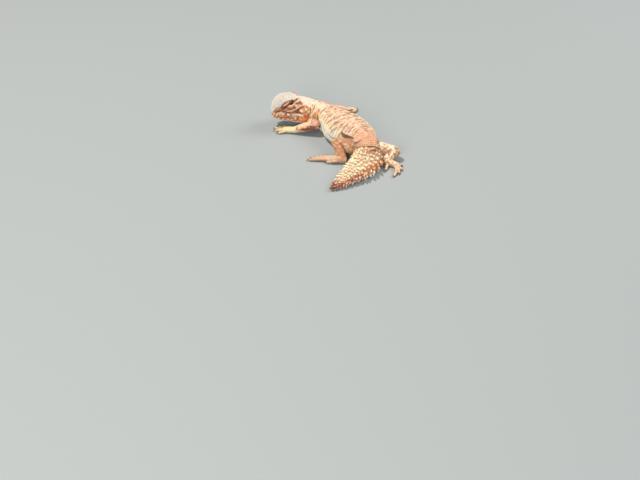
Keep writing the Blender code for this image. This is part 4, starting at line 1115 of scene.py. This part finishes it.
def spaced(places, gaps):
    """Which places to keep so that none lies nearer to another kept one than its own gap."""
    cell = float(np.max(gaps))
    cells, kept = {}, []
    for index, (place, gap) in enumerate(zip(places.tolist(), gaps.tolist())):
        home = tuple(int(c // cell) for c in place)
        near = (cells.get((home[0] + i, home[1] + j, home[2] + k), ())
                for i in (-1, 0, 1) for j in (-1, 0, 1) for k in (-1, 0, 1))
        if any(math.dist(place, other) < gap for group in near for other in group):
            continue
        cells.setdefault(home, []).append(place)
        kept.append(index)
    return np.array(kept)


def scatter(chance, tries, seed):
    """Random places on the skin, where chance, a number for each of its vertices, is over a half."""
    draw = np.random.default_rng(seed)
    corners = np.array([list(p.vertices)[:3] for p in skin.data.polygons])
    corners = corners[chance[corners].mean(1) > 0.5]
    a, b, c = (points[corners[:, k]] for k in range(3))
    area = np.linalg.norm(np.cross(b - a, c - a), axis=1)
    pick = draw.choice(len(corners), tries, p=area / area.sum())
    u, v = draw.uniform(0, 1, (2, tries))
    over = u + v > 1
    u, v = np.where(over, 1 - u, u)[:, None], np.where(over, 1 - v, v)[:, None]
    return a[pick] + u * (b - a)[pick] + v * (c - a)[pick]


def scale_shape(name, sides, rings, peak):
    """A scale one unit long, wide and tall, from rings of (height, size, shift back) and its peak."""
    around = np.linspace(0, 2 * math.pi, sides, endpoint=False) + math.pi / sides
    shape = [(math.cos(a) * size / 2 + shift, math.sin(a) * size / 2, height)
             for height, size, shift in rings for a in around]
    shape.append((peak[0], 0.0, peak[1]))
    faces = [tuple(reversed(range(sides)))]
    for ring in range(len(rings) - 1):
        low, high = ring * sides, (ring + 1) * sides
        faces += [(low + k, low + (k + 1) % sides, high + (k + 1) % sides, high + k) for k in range(sides)]
    top = (len(rings) - 1) * sides
    faces += [(top + k, top + (k + 1) % sides, len(shape) - 1) for k in range(sides)]
    mesh = bpy.data.meshes.new(name)
    mesh.from_pydata(shape, [], faces)
    mesh.shade_smooth()
    patch = mesh.attributes.new("patch", "FLOAT_VECTOR", "POINT")
    patch.data.foreach_set("vector", np.array([(x, y, 0) for x, y, _ in shape], np.float32).ravel())
    tip = mesh.attributes.new("tip", "FLOAT", "POINT")
    tip.data.foreach_set("value", np.clip([z for _, _, z in shape], 0, 1).astype(np.float32))
    made = bpy.data.objects.new(name, mesh)
    bpy.context.scene.collection.objects.link(made)
    return made


def scale_tree():
    """The tree that turns roots into scales, and its inputs' identifiers by name."""
    tree = bpy.data.node_groups.new("scales", "GeometryNodeTree")
    sockets = {"Roots": "Geometry", "Shape": "Object", "Finish": "Material", "Seed": "Int"}
    sockets.update(dict.fromkeys(("Length", "Width", "Height", "Unevenness", "Patch"), "Float"))
    names = {}
    for name, kind in sockets.items():
        made = tree.interface.new_socket(name=name, in_out="INPUT", socket_type="NodeSocket" + kind)
        names[name] = made.identifier
    tree.interface.new_socket(name="Scales", in_out="OUTPUT", socket_type="NodeSocketGeometry")
    ins = tree.nodes.new("NodeGroupInput")
    given = {name: Wire(tree, ins.outputs[name]) for name in sockets}

    def stored(name, kind="FLOAT_VECTOR"):
        return add_node(tree, "GeometryNodeInputNamedAttribute", {"data_type": kind}, {"Name": name})

    shape = add_node(tree, "GeometryNodeObjectInfo", {}, {"Object": given["Shape"]}, "Geometry")
    turn = add_node(tree, "FunctionNodeAxesToRotation", {"primary_axis": "Z", "secondary_axis": "X"},
                    {0: stored("out"), 1: stored("lie")})
    lengths = {0: given["Length"], 1: given["Width"], 2: given["Height"]}
    size = add_node(tree, "ShaderNodeCombineXYZ", {}, lengths)
    limits = {"Min": 1 - given["Unevenness"], "Max": 1 + given["Unevenness"], "Seed": given["Seed"]}
    vary = add_node(tree, "FunctionNodeRandomValue", {"data_type": "FLOAT_VECTOR"}, limits)
    size = add_node(tree, "ShaderNodeVectorMath", {"operation": "MULTIPLY"}, {0: size, 1: vary})
    size = add_node(tree, "ShaderNodeVectorMath", {"operation": "MULTIPLY"}, {0: size, 1: stored("share")})
    placed = add_node(tree, "GeometryNodeInstanceOnPoints", {},
                      {"Points": given["Roots"], "Instance": shape, "Rotation": turn, "Scale": size})
    tint = add_node(tree, "FunctionNodeRandomValue", {"data_type": "FLOAT"}, {"Seed": given["Seed"] + 1}, 1)
    placed = add_node(tree, "GeometryNodeStoreNamedAttribute", {"data_type": "FLOAT", "domain": "INSTANCE"},
                      {"Geometry": placed, "Name": "tint", "Value": tint})
    solid = add_node(tree, "GeometryNodeRealizeInstances", {}, {"Geometry": placed})
    unwrap = add_node(tree, "ShaderNodeVectorMath", {"operation": "MULTIPLY_ADD"},
                      {0: stored("patch"), 1: given["Patch"], 2: stored("root_uv")})
    solid = add_node(tree, "GeometryNodeStoreNamedAttribute", {"data_type": "FLOAT2", "domain": "CORNER"},
                     {"Geometry": solid, "Name": "OFBake", "Value": unwrap})
    solid = add_node(tree, "GeometryNodeSetMaterial", {}, {"Geometry": solid, "Material": given["Finish"]})
    outs = tree.nodes.new("NodeGroupOutput")
    tree.links.new(solid.socket, outs.inputs["Scales"])
    return tree, names


SCALE_TREE, SCALE_INPUTS = scale_tree()
PATCH = 0.003  # how far across each scale lies in the unwrap
FLOOR_FILM = 0.03  # no scale reaches lower than this over the floor


def coat(name, shape, places, out, share, size, finish, uneven, seed, lie=None):
    """One mesh of scales from their roots, in millimetres. size is (length, width, height)."""
    facts = body_facts(places)
    mesh = bpy.data.meshes.new(name)
    mesh.from_pydata((places * MM).tolist(), [], [])
    write_marks(mesh, facts)
    vectors = {"out": out, "lie": facts["lie"] if lie is None else lie, "root_uv": facts["root_uv"],
               "share": np.broadcast_to(share, (len(places), 3))}
    for attribute, values in vectors.items():
        layer = mesh.attributes.new(attribute, "FLOAT_VECTOR", "POINT")
        layer.data.foreach_set("vector", np.ascontiguousarray(values, np.float32).ravel())
    made = bpy.data.objects.new(name, mesh)
    bpy.context.scene.collection.objects.link(made)
    shape.data.materials.clear()
    shape.data.materials.append(finish)
    modifier = made.modifiers.new("scales", "NODES")
    modifier.node_group = SCALE_TREE
    length, width, height = (float(v) * MM for v in size)
    inputs = {"Shape": shape, "Finish": finish, "Length": length, "Width": width, "Height": height,
              "Unevenness": uneven, "Patch": PATCH, "Seed": seed}
    for socket, value in inputs.items():
        modifier[SCALE_INPUTS[socket]] = value
    apply_modifiers(made)
    laid = mesh_points(made.data)
    laid[:, 2] = np.maximum(laid[:, 2], FLOOR_FILM)
    made.data.vertices.foreach_set("co", (laid * MM).ravel())
    for attribute in (*vectors, "patch"):
        made.data.attributes.remove(made.data.attributes[attribute])
    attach(made, "root")


# ------------------------------------------------------------------ scales of neck and trunk
# Small domed granules in rows across the body, four rows to a fold of the skin, and flatter
# under the belly. Back and belly are separate pieces.

granule = scale_shape("granule", 6, ((-0.5, 0.95, 0.0), (0.45, 0.84, 0.02)), (0.1, 1.0))
GRANULES_END = 98.6  # the rump's larger scales start here


def row_angles(s, pitch, offset):
    """Angles round the body at arc length s, evenly spaced from the belly's middle."""
    around = np.linspace(-math.pi / 2, 1.5 * math.pi, 241)
    side, height = section(np.full(241, s), around, -COAT)
    way = np.concatenate([[0], np.cumsum(np.hypot(np.diff(side), np.diff(height)))])
    count = max(6, round(way[-1] / pitch))
    return np.interp((np.arange(count) + offset) / count * way[-1], way, around)


places = []
for row, level in enumerate(np.arange(35.2, TAIL_START - 0.2, SCALE_ROW)):
    angles = row_angles(level, SCALE_ROW * 1.05, 0.5 * (row % 2))
    s = level - row_wander(np.full(len(angles), level), angles)
    s = np.clip(level - row_wander(s, angles), 34.5, TAIL_START + 1)
    places.append(trunk_points(s, angles))
places = np.concatenate(places)
places, out, _ = settle(places, 0.7)
facts = body_facts(places)
kept = (facts["limb"] < 0.5) & ((facts["along"] < GRANULES_END) | (facts["crest"] < -0.1))
places, out, crest = places[kept], out[kept], facts["crest"][kept]
granule_finish = hide_material("granules", 0.55)
GRANULE_SIZE = (0.86, 0.84, 0.3)
BELLY_EDGE = 0.12  # sine of the angle at which the belly's piece starts
for name, chosen, seed in (
    ("scales_back", crest > BELLY_EDGE, 11), ("scales_belly", crest <= BELLY_EDGE, 12),
):
    full, flat = np.ones(chosen.sum()), np.interp(crest[chosen], (-0.8, -0.2), (0.45, 1))
    share = np.column_stack([full, full, flat])
    coat(name, granule, places[chosen], out[chosen], share, GRANULE_SIZE,
         granule_finish, 0.14, seed)

# ------------------------------------------------------------------ plates of the head
# Small many-sided plates, largest on crown and chin and finer on the face, with a row of broad
# ones along each lip and two rings round the slit of the lids.

pebble = scale_shape("pebble", 6, ((-0.7, 0.98, 0.0), (0.5, 0.84, 0.0)), (0.0, 1.0))
plate = scale_shape("plate", 7, ((-0.8, 1.0, 0.0), (0.4, 0.94, 0.0), (0.85, 0.68, 0.0)), (0.0, 1.05))


PUSH_REACH, PUSH_STEP = 1.45, 0.45  # of a place's own gap: how far it is pushed from, and how much


def pushed_apart(places, gaps, rounds):
    """Places moved away from their nearest neighbours until they are packed evenly on the skin."""
    for _ in range(rounds):
        tree = KDTree(len(places))
        for index, place in enumerate(places):
            tree.insert(place, index)
        tree.balance()
        moved = places.copy()
        for index, (place, gap) in enumerate(zip(places, gaps)):
            reach = PUSH_REACH * gap
            for other, neighbour, far in tree.find_range(place, reach):
                if neighbour != index:
                    moved[index] += PUSH_STEP * gap * (1 - far / reach) * (place - other) / (far + 1e-6)
        places, _, _ = settle(moved, 3.0)
    return places


def side_hits(places, way):
    """Where rays from outside meet the skin: places and outward directions."""
    found = [skin_tree.ray_cast(Vector(place - 12 * way), Vector(way), 24) for place in places]
    return (np.array([hit[0] for hit in found if hit[0] is not None]),
            np.array([hit[1] for hit in found if hit[0] is not None]))


lip_places, lip_out, lip_lie = [], [], []
lid_places, lid_out, lid_lie = [], [], []
LIP_PITCH, LIP_OFF = 1.25, 0.95
LID_PITCH = 0.62
for side in (1, -1):
    for over in (LIP_OFF, -LIP_OFF):
        at = np.arange(1.6, MOUTH_CORNER + 1.2, LIP_PITCH)
        centre, ahead, left = line_at(at)
        level = ease(MOUTH_LINE, at) + over
        row = np.column_stack([centre, level])
        for place, forward, across in zip(row, ahead, left):
            hit, out = side_hits([place], np.append(-side * across, 0.0))
            lip_places.append(hit[0])
            lip_out.append(out[0])
            lip_lie.append((*-forward, 0.0))
    _, ahead, left = line_at(EYE_AT)
    forward, across = np.append(ahead, 0.0), np.append(left, 0.0)
    rear = -forward * math.cos(LID_TILT) + np.array((0, 0, 1)) * math.sin(LID_TILT)
    over_slit = forward * math.sin(LID_TILT) + np.array((0, 0, 1)) * math.cos(LID_TILT)
    slit = lids_centre(side)
    for ring, (long, tall) in enumerate(((0.25, 0.5), (0.85, 1.05))):
        a, b = LID_OPENING[0] + long, LID_OPENING[2] + tall
        count = round(math.pi * (3 * (a + b) - math.sqrt((3 * a + b) * (a + 3 * b))) / LID_PITCH)
        for turn in (np.arange(count) + 0.5 * ring) * 2 * math.pi / count:
            place = slit + a * math.cos(turn) * rear + b * math.sin(turn) * over_slit
            hit, out = side_hits([place], -side * across)
            if len(hit) and out[0] @ (side * across) > 0.2:
                lid_places.append(hit[0])
                lid_out.append(out[0])
                lid_lie.append(math.cos(turn) * rear + math.sin(turn) * over_slit)
lip_places, lip_out, lip_lie = (np.array(v) for v in (lip_places, lip_out, lip_lie))
lid_places, lid_out, lid_lie = (np.array(v) for v in (lid_places, lid_out, lid_lie))
head_finish = hide_material("head_plates", 0.3)
coat("lip_scales", plate, lip_places, lip_out, 1.0, (1.3, 1.15, 0.34),
     head_finish, 0.08, 21, lip_lie)
coat("lid_scales", plate, lid_places, lid_out, 1.0, (0.66, 0.6, 0.22),
     head_finish, 0.1, 22, lid_lie)

FACE_GAP, CROWN_GAP = 0.6, 0.98  # from one plate's middle to the next
FACE_TRIES = 90000  # places drawn, of which those that lie far enough apart are kept
DRAWN_TO, KEPT_TO = 36.4, 36.6  # arc length at which the head's plates end
MOST_LIMB, MOST_PIT = 0.3, 0.35  # plates stay off the legs' roots and out of the pits
at, level = skin_facts["along"], skin_facts["rise"]
chance = (at < DRAWN_TO) * (skin_facts["limb"] < MOST_LIMB) * (skin_facts["pit_shade"] < MOST_PIT)
mouth_off = level - ease(MOUTH_LINE, at)
on_lips = (at < MOUTH_CORNER + 1.2) & (np.abs(mouth_off) < LIP_OFF + 0.45)
chance = chance * ~(on_lips & (np.abs(skin_facts["crest"]) < 0.8))
tries = scatter(chance.astype(float), FACE_TRIES, 5)
facts = body_facts(tries)
to_eye = np.min([np.linalg.norm(tries - pits[k][0], axis=1) for k in (0, 3)], axis=0)
chin = np.clip((-0.35 - facts["crest"]) / 0.3, 0, 1)
on_crown = facts["crown"] * np.clip((facts["along"] - 3) / 3, 0, 1)
gaps = FACE_GAP + (CROWN_GAP - FACE_GAP) * np.maximum(on_crown, 0.8 * chin)
gaps = gaps - 0.1 * np.clip((5.2 - to_eye) / 2.5, 0, 1) * (gaps > FACE_GAP)
kept = spaced(tries, gaps)
gaps = gaps[kept]
places = pushed_apart(tries[kept], gaps, 5)
places, out, _ = settle(places, 0.5)
facts = body_facts(places)
taken = np.concatenate([lid_places, lip_places])
clear = np.array([np.linalg.norm(taken - place, axis=1).min() for place in places]) > 0.55
clear &= (facts["pit_shade"] < MOST_PIT) & (facts["along"] < KEPT_TO) & (facts["limb"] < MOST_LIMB)
mouth_off = places[:, 2] - ease(MOUTH_LINE, facts["along"])
clear &= ~((facts["along"] < MOUTH_CORNER) & (np.abs(mouth_off) < LIP_OFF))
places, out, gaps, lie = places[clear], out[clear], gaps[clear], facts["lie"][clear]
draw = np.random.default_rng(8)
turn = draw.uniform(0, 2 * math.pi, len(places))[:, None]
lie = lie * np.cos(turn) + np.cross(out, lie) * np.sin(turn)
share = np.column_stack([gaps, gaps, 0.8 + 0.4 * draw.uniform(0, 1, len(places))])
large = gaps > 0.5 * (FACE_GAP + CROWN_GAP)
coat("head_scales", plate, places[large], out[large], share[large], (1.34, 1.34, 0.27),
     head_finish, 0.07, 23, lie[large])
coat("face_scales", pebble, places[~large], out[~large], share[~large], (1.38, 1.32, 0.24),
     head_finish, 0.09, 24, lie[~large])

# ------------------------------------------------------------------ scales of the legs
# Keeled scales that lean back along each leg, a little smaller on the arms and toes, and
# flatter under the limbs.

keeled = scale_shape("keeled", 6, ((-0.5, 0.95, -0.05), (0.3, 0.9, 0.02), (0.8, 0.45, 0.2)), (0.42, 1.0))
LEG_PITCH, TOE_PITCH = 0.95, 0.8
ROOT_SPACING = 0.72  # least distance between two roots, as a share of the pitch
LEG_TRIES = 30000  # places drawn to fill what the rows leave bare
candidates, candidate_gaps = [], []
for limb_index, toe, start, path, wide, tall in stretches:
    pitch = TOE_PITCH if toe else LEG_PITCH * (0.85 if limb_index < 2 else 1.0)
    length = float(np.linalg.norm(np.diff(path, axis=0), axis=1).sum())
    steps = max(2, round(length / pitch))
    for row in range(steps + 1):
        k = row / steps * (len(path) - 1)
        i = min(int(k), len(path) - 2)
        middle = path[i] + (k - i) * (path[i + 1] - path[i])
        way = (path[i + 1] - path[i]) / np.linalg.norm(path[i + 1] - path[i])
        w, t = np.interp(k, np.arange(len(path)), wide), np.interp(k, np.arange(len(path)), tall)
        side = np.cross((0, 0, 1), way)
        side /= np.linalg.norm(side)
        over = np.cross(way, side)
        count = max(5, round(math.pi * (w + t) / pitch))
        for turn in (np.arange(count) + 0.5 * (row % 2)) * 2 * math.pi / count:
            candidates.append(middle + w * math.cos(turn) * side + t * math.sin(turn) * over)
            candidate_gaps.append(ROOT_SPACING * pitch)
filling = scatter((skin_facts["limb"] > 0.4).astype(float), LEG_TRIES, 6)
toes_filled = body_facts(filling)["toe"] > 0
candidates = np.concatenate([candidates, filling])
filling_gaps = ROOT_SPACING * np.where(toes_filled, TOE_PITCH, LEG_PITCH)
candidate_gaps = np.concatenate([candidate_gaps, filling_gaps])
places, out, near = settle(candidates, 0.8)
gaps = candidate_gaps[near]
facts = body_facts(places)
kept = np.flatnonzero(facts["limb"] > 0.45)
kept = kept[spaced(places[kept], gaps[kept])]
places, out, gaps = places[kept], out[kept], gaps[kept]
under = np.interp(out[:, 2], (-0.8, -0.1), (0.5, 1.0))
share = np.column_stack([gaps / ROOT_SPACING, gaps / ROOT_SPACING, under])
limb_finish = hide_material("limb_scales", 0.55)
coat("limb_scales", keeled, places, out, share, (1.15, 1.05, 0.34),
     limb_finish, 0.16, 31)

# ------------------------------------------------------------------ spiny whorls of the tail
# Rings of stout thorns with a keel, each leaning back over the next ring, with small scales
# between them. Under the tail they give way to flat scales.

THORN_RINGS = ((-0.3, 1.0, -0.05), (0.12, 0.92, 0.0), (0.45, 0.6, 0.14), (0.8, 0.3, 0.34))
thorn = scale_shape("thorn", 6, THORN_RINGS, (0.66, 1.15))
THORN_HEIGHT = ((104, 0.7), (109, 1.1), (116, 1.9), (130, 1.8), (145, 1.2), (153, 0.4))
draw = np.random.default_rng(7)
roots, shares, small_roots, small_shares = [], [], [], []
for start, end, count, whorls in WHORLS:
    edges_at = whorl_edges(start, end, whorls)
    for first, last in zip(edges_at[:-1], edges_at[1:]):
        span, at = last - first, (first + last) / 2
        angles = (np.arange(count) + 0.5 + draw.uniform(-0.3, 0.3, count)) * 2 * math.pi / count
        across = 2 * math.pi * np.interp(at, LINE_AT, PROFILES[0]) / count * draw.uniform(0.66, 0.96, count)
        below = np.clip((-np.sin(angles) - 0.25) / 0.45, 0, 1)
        flank = np.clip((np.abs(np.cos(angles)) - 0.55) / 0.35, 0, 1)
        tall = float(ease(THORN_HEIGHT, at)) * (1 - 0.8 * below) * (0.85 + 0.35 * flank)
        tall = tall * draw.uniform(0.75, 1.25, count)
        roots.append(trunk_points(first + span * (0.46 + draw.uniform(-0.2, 0.2, count)), angles))
        length = span * (1.2 - 0.2 * below) * draw.uniform(0.85, 1.15, count)
        shares.append(np.column_stack([length, across, tall + COAT]))
        between = angles + math.pi / count
        small_roots.append(trunk_points(np.full(count, first + 0.2 * span), between))
        small_shares.append(np.column_stack([np.full(count, span * 0.5), across * 0.8, 0.35 * tall + 0.1]))
places, out, near = settle(np.concatenate(roots), 1.2)
tail_finish = hide_material("tail_thorns", 0.35)
shares = np.concatenate(shares)[near]
coat("tail_thorns", thorn, places, out, shares, (1, 1, 1), tail_finish, 0.06, 41)

# Rows of keeled scales on the rump and between the whorls.
RUMP_ROWS, RUMP_PITCH = (99.0, 100.5, 102.0, 103.5), 1.45
for row, level in enumerate(RUMP_ROWS):
    angles = row_angles(level, RUMP_PITCH, 0.5 * (row % 2))
    angles = angles[np.sin(angles) > -0.15]
    small_roots.append(trunk_points(np.full(len(angles), level), angles))
    small_shares.append(np.tile((1.75, 1.4, 0.5 + 0.12 * row), (len(angles), 1)))
places, out, near = settle(np.concatenate(small_roots), 0.9)
small_shares = np.concatenate(small_shares)[near]
off_leg = body_facts(places)["limb"] < 0.5
coat("tail_scales", keeled, places[off_leg], out[off_leg], small_shares[off_leg], (1, 1, 1),
     tail_finish, 0.12, 42)

# ------------------------------------------------------------------ eyes
# Moist balls, half in the shade of the lids, with a wide dark iris and a round pupil.

eye_finish = bpy.data.materials.new("eye")
eye_finish.use_nodes = True
tree = eye_finish.node_tree
shader = tree.nodes["Principled BSDF"]
off_axis = add_node(tree, "ShaderNodeAttribute", {"attribute_name": "off_axis"}, {}, 2)
within = add_node(tree, "ShaderNodeTexCoord", {}, {}, 3)
rays = add_node(tree, "ShaderNodeTexNoise", {}, {"Vector": within, "Scale": 1400.0, "Detail": 2.0})
iris = mix(tree, rays.step(0.35, 0.65), paint(52, 26, 13), paint(88, 48, 24))
iris = mix(tree, off_axis.step(0.42, 0.5), paint(96, 58, 28), iris)
iris = mix(tree, off_axis.step(0.4, 0.36), iris, paint(8, 6, 5))
iris = mix(tree, off_axis.step(0.62, 0.72), iris, paint(34, 20, 14))
tree.links.new(iris.socket, shader.inputs["Base Color"])
shader.inputs["Roughness"].default_value = 0.3
shader.inputs["Specular IOR Level"].default_value = 0.25
shader.inputs["Coat Weight"].default_value = 0.12
shader.inputs["Coat Roughness"].default_value = 0.08
for side, label in ((1, "left"), (-1, "right")):
    centre = head_point(EYE_AT, side * EYE_SIDE, EYE_HEIGHT)
    eye = ball(f"eyeball_{label}", centre, (EYE_RADIUS,) * 3, 0.0, 48, 32)
    left = np.append(line_at(EYE_AT)[2], 0.0)
    gaze = side * left * math.cos(GAZE_UP) + np.array((0, 0, 1)) * math.sin(GAZE_UP)
    off = mesh_points(eye.data) - centre
    layer = eye.data.attributes.new("off_axis", "FLOAT", "POINT")
    away = np.arccos(np.clip(off @ gaze / np.linalg.norm(off, axis=1), -1, 1))
    layer.data.foreach_set("value", away.astype(np.float32))
    eye.data.materials.append(eye_finish)
    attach(eye, "root")
    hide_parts(f"eye_{label}")

# ------------------------------------------------------------------ claws
# Short curved claws of horn, pale at the root and darker towards the tip, one on every toe.

CLAW_LENGTH = {"arm": 2.2, "leg": 2.4}
CLAW_RADIUS, CLAW_TIP, CLAW_STEPS, CLAW_ROUND = 0.72, 0.1, 10, 12
CLAW_FLATNESS = 0.72  # a claw's width, as a share of its height
claw_finish = bpy.data.materials.new("horn")
claw_finish.use_nodes = True
tree = claw_finish.node_tree
shader = tree.nodes["Principled BSDF"]
grown = add_node(tree, "ShaderNodeAttribute", {"attribute_name": "grown"}, {}, 2)
within = add_node(tree, "ShaderNodeTexCoord", {}, {}, 3)
streaks = add_node(tree, "ShaderNodeTexNoise", {}, {"Vector": within, "Scale": 900.0, "Detail": 3.0})
horn = mix(tree, (grown + (streaks - 0.5) * 0.5).step(0.1, 0.9), paint(206, 176, 140), paint(96, 72, 56))
tree.links.new(horn.socket, shader.inputs["Base Color"])
tree.links.new((0.3 + streaks * 0.2).socket, shader.inputs["Roughness"])
for key in JOINTS:
    kind, side_name = key.split("_")
    foot = ("hand_" if kind == "arm" else "foot_") + side_name
    claws, grown_values = [], []
    for number in range(1, 6):
        end, way = claw_roots[key, number]
        share = np.linspace(0, 1, CLAW_STEPS)
        path = end + np.outer(-0.5 + (0.5 + CUT_GAP + CLAW_LENGTH[kind]) * share, way)
        path[:, 2] += 0.45 * np.sin(share * math.pi) - (end[2] - 0.3) * share**2
        thick = CLAW_RADIUS * (1 - share) ** 0.8 + CLAW_TIP
        points_of, faces_of = tube(path, thick * CLAW_FLATNESS, thick, CLAW_ROUND)
        claws.append(new_object("claw", points_of, faces_of))
        grown_values.append(np.clip(((points_of - path[0]) @ way) / (CUT_GAP + CLAW_LENGTH[kind]), 0, 1))
    joined = bmesh.new()
    for claw in claws:
        joined.from_mesh(claw.data)
    mesh = bpy.data.meshes.new(f"claws_{foot}")
    joined.to_mesh(mesh)
    joined.free()
    mesh.shade_smooth()
    layer = mesh.attributes.new("grown", "FLOAT", "POINT")
    layer.data.foreach_set("value", np.concatenate(grown_values).astype(np.float32))
    mesh.materials.append(claw_finish)
    made = bpy.data.objects.new(f"claws_{foot}", mesh)
    bpy.context.scene.collection.objects.link(made)
    for claw in claws:
        bpy.data.objects.remove(claw)
    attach(made, "root")
    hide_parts(*(f"claw_{foot}_{number}" for number in range(1, 6)))

for shape in (granule, pebble, plate, keeled, thorn):
    bpy.data.objects.remove(shape)

# ------------------------------------------------------------------ floor, light and camera
# A pale matt floor under a pale sky, with a small bright lamp high to the camera's left, a broad
# soft one near the camera and another on the far side.

floor_mesh = bpy.data.meshes.new("floor")
floor_half = 3.0
floor_mesh.from_pydata([(-floor_half, -floor_half, 0), (floor_half, -floor_half, 0),
                        (floor_half, floor_half, 0), (-floor_half, floor_half, 0)], [], [(0, 1, 2, 3)])
floor = bpy.data.objects.new("floor", floor_mesh)
bpy.context.scene.collection.objects.link(floor)
floor_finish = bpy.data.materials.new("floor_plaster")
floor_finish.use_nodes = True
floor_shader = floor_finish.node_tree.nodes["Principled BSDF"]
floor_shader.inputs["Base Color"].default_value = paint(150, 157, 159)
floor_shader.inputs["Roughness"].default_value = 0.85
floor_mesh.materials.append(floor_finish)

sky = bpy.data.worlds.new("studio")
sky.use_nodes = True
daylight = sky.node_tree.nodes["Background"]
daylight.inputs["Color"].default_value = paint(236, 240, 246)
daylight.inputs["Strength"].default_value = 0.3
bpy.context.scene.world = sky


def lamp(name, place, watts, size, colour):
    light = bpy.data.lights.new(name, "AREA")
    light.energy, light.size, light.color = watts, size, colour[:3]
    made = bpy.data.objects.new(name, light)
    made.location = place
    made.rotation_mode = "QUATERNION"
    made.rotation_quaternion = (-Vector(place)).to_track_quat("-Z", "Y")
    bpy.context.scene.collection.objects.link(made)


lamp("key", (-0.6, -0.4, 1.62), 31.0, 0.2, paint(255, 246, 234))
lamp("fill", (0.5, -0.85, 0.45), 7.0, 0.5, paint(250, 246, 242))
lamp("far side", (0.35, 0.9, 0.8), 9.0, 0.6, paint(250, 246, 242))

CAMERA_AZIMUTH, CAMERA_ELEVATION = math.radians(52), math.radians(41)
CAMERA_AT = (0.3621, -0.3082, 0.3051)
LENS, SENSOR = 39.375, 36.0
camera_data = bpy.data.cameras.new("camera")
camera_data.lens, camera_data.sensor_width = LENS, SENSOR
camera_data.clip_start, camera_data.clip_end = 0.01, 20
camera = bpy.data.objects.new("camera", camera_data)
look = Vector((-math.sin(CAMERA_AZIMUTH) * math.cos(CAMERA_ELEVATION),
               math.cos(CAMERA_AZIMUTH) * math.cos(CAMERA_ELEVATION), -math.sin(CAMERA_ELEVATION)))
camera.location = CAMERA_AT
camera.rotation_mode = "QUATERNION"
camera.rotation_quaternion = look.to_track_quat("-Z", "Y")
bpy.context.scene.collection.objects.link(camera)
bpy.context.scene.camera = camera
bpy.context.scene.view_settings.view_transform = "Standard"
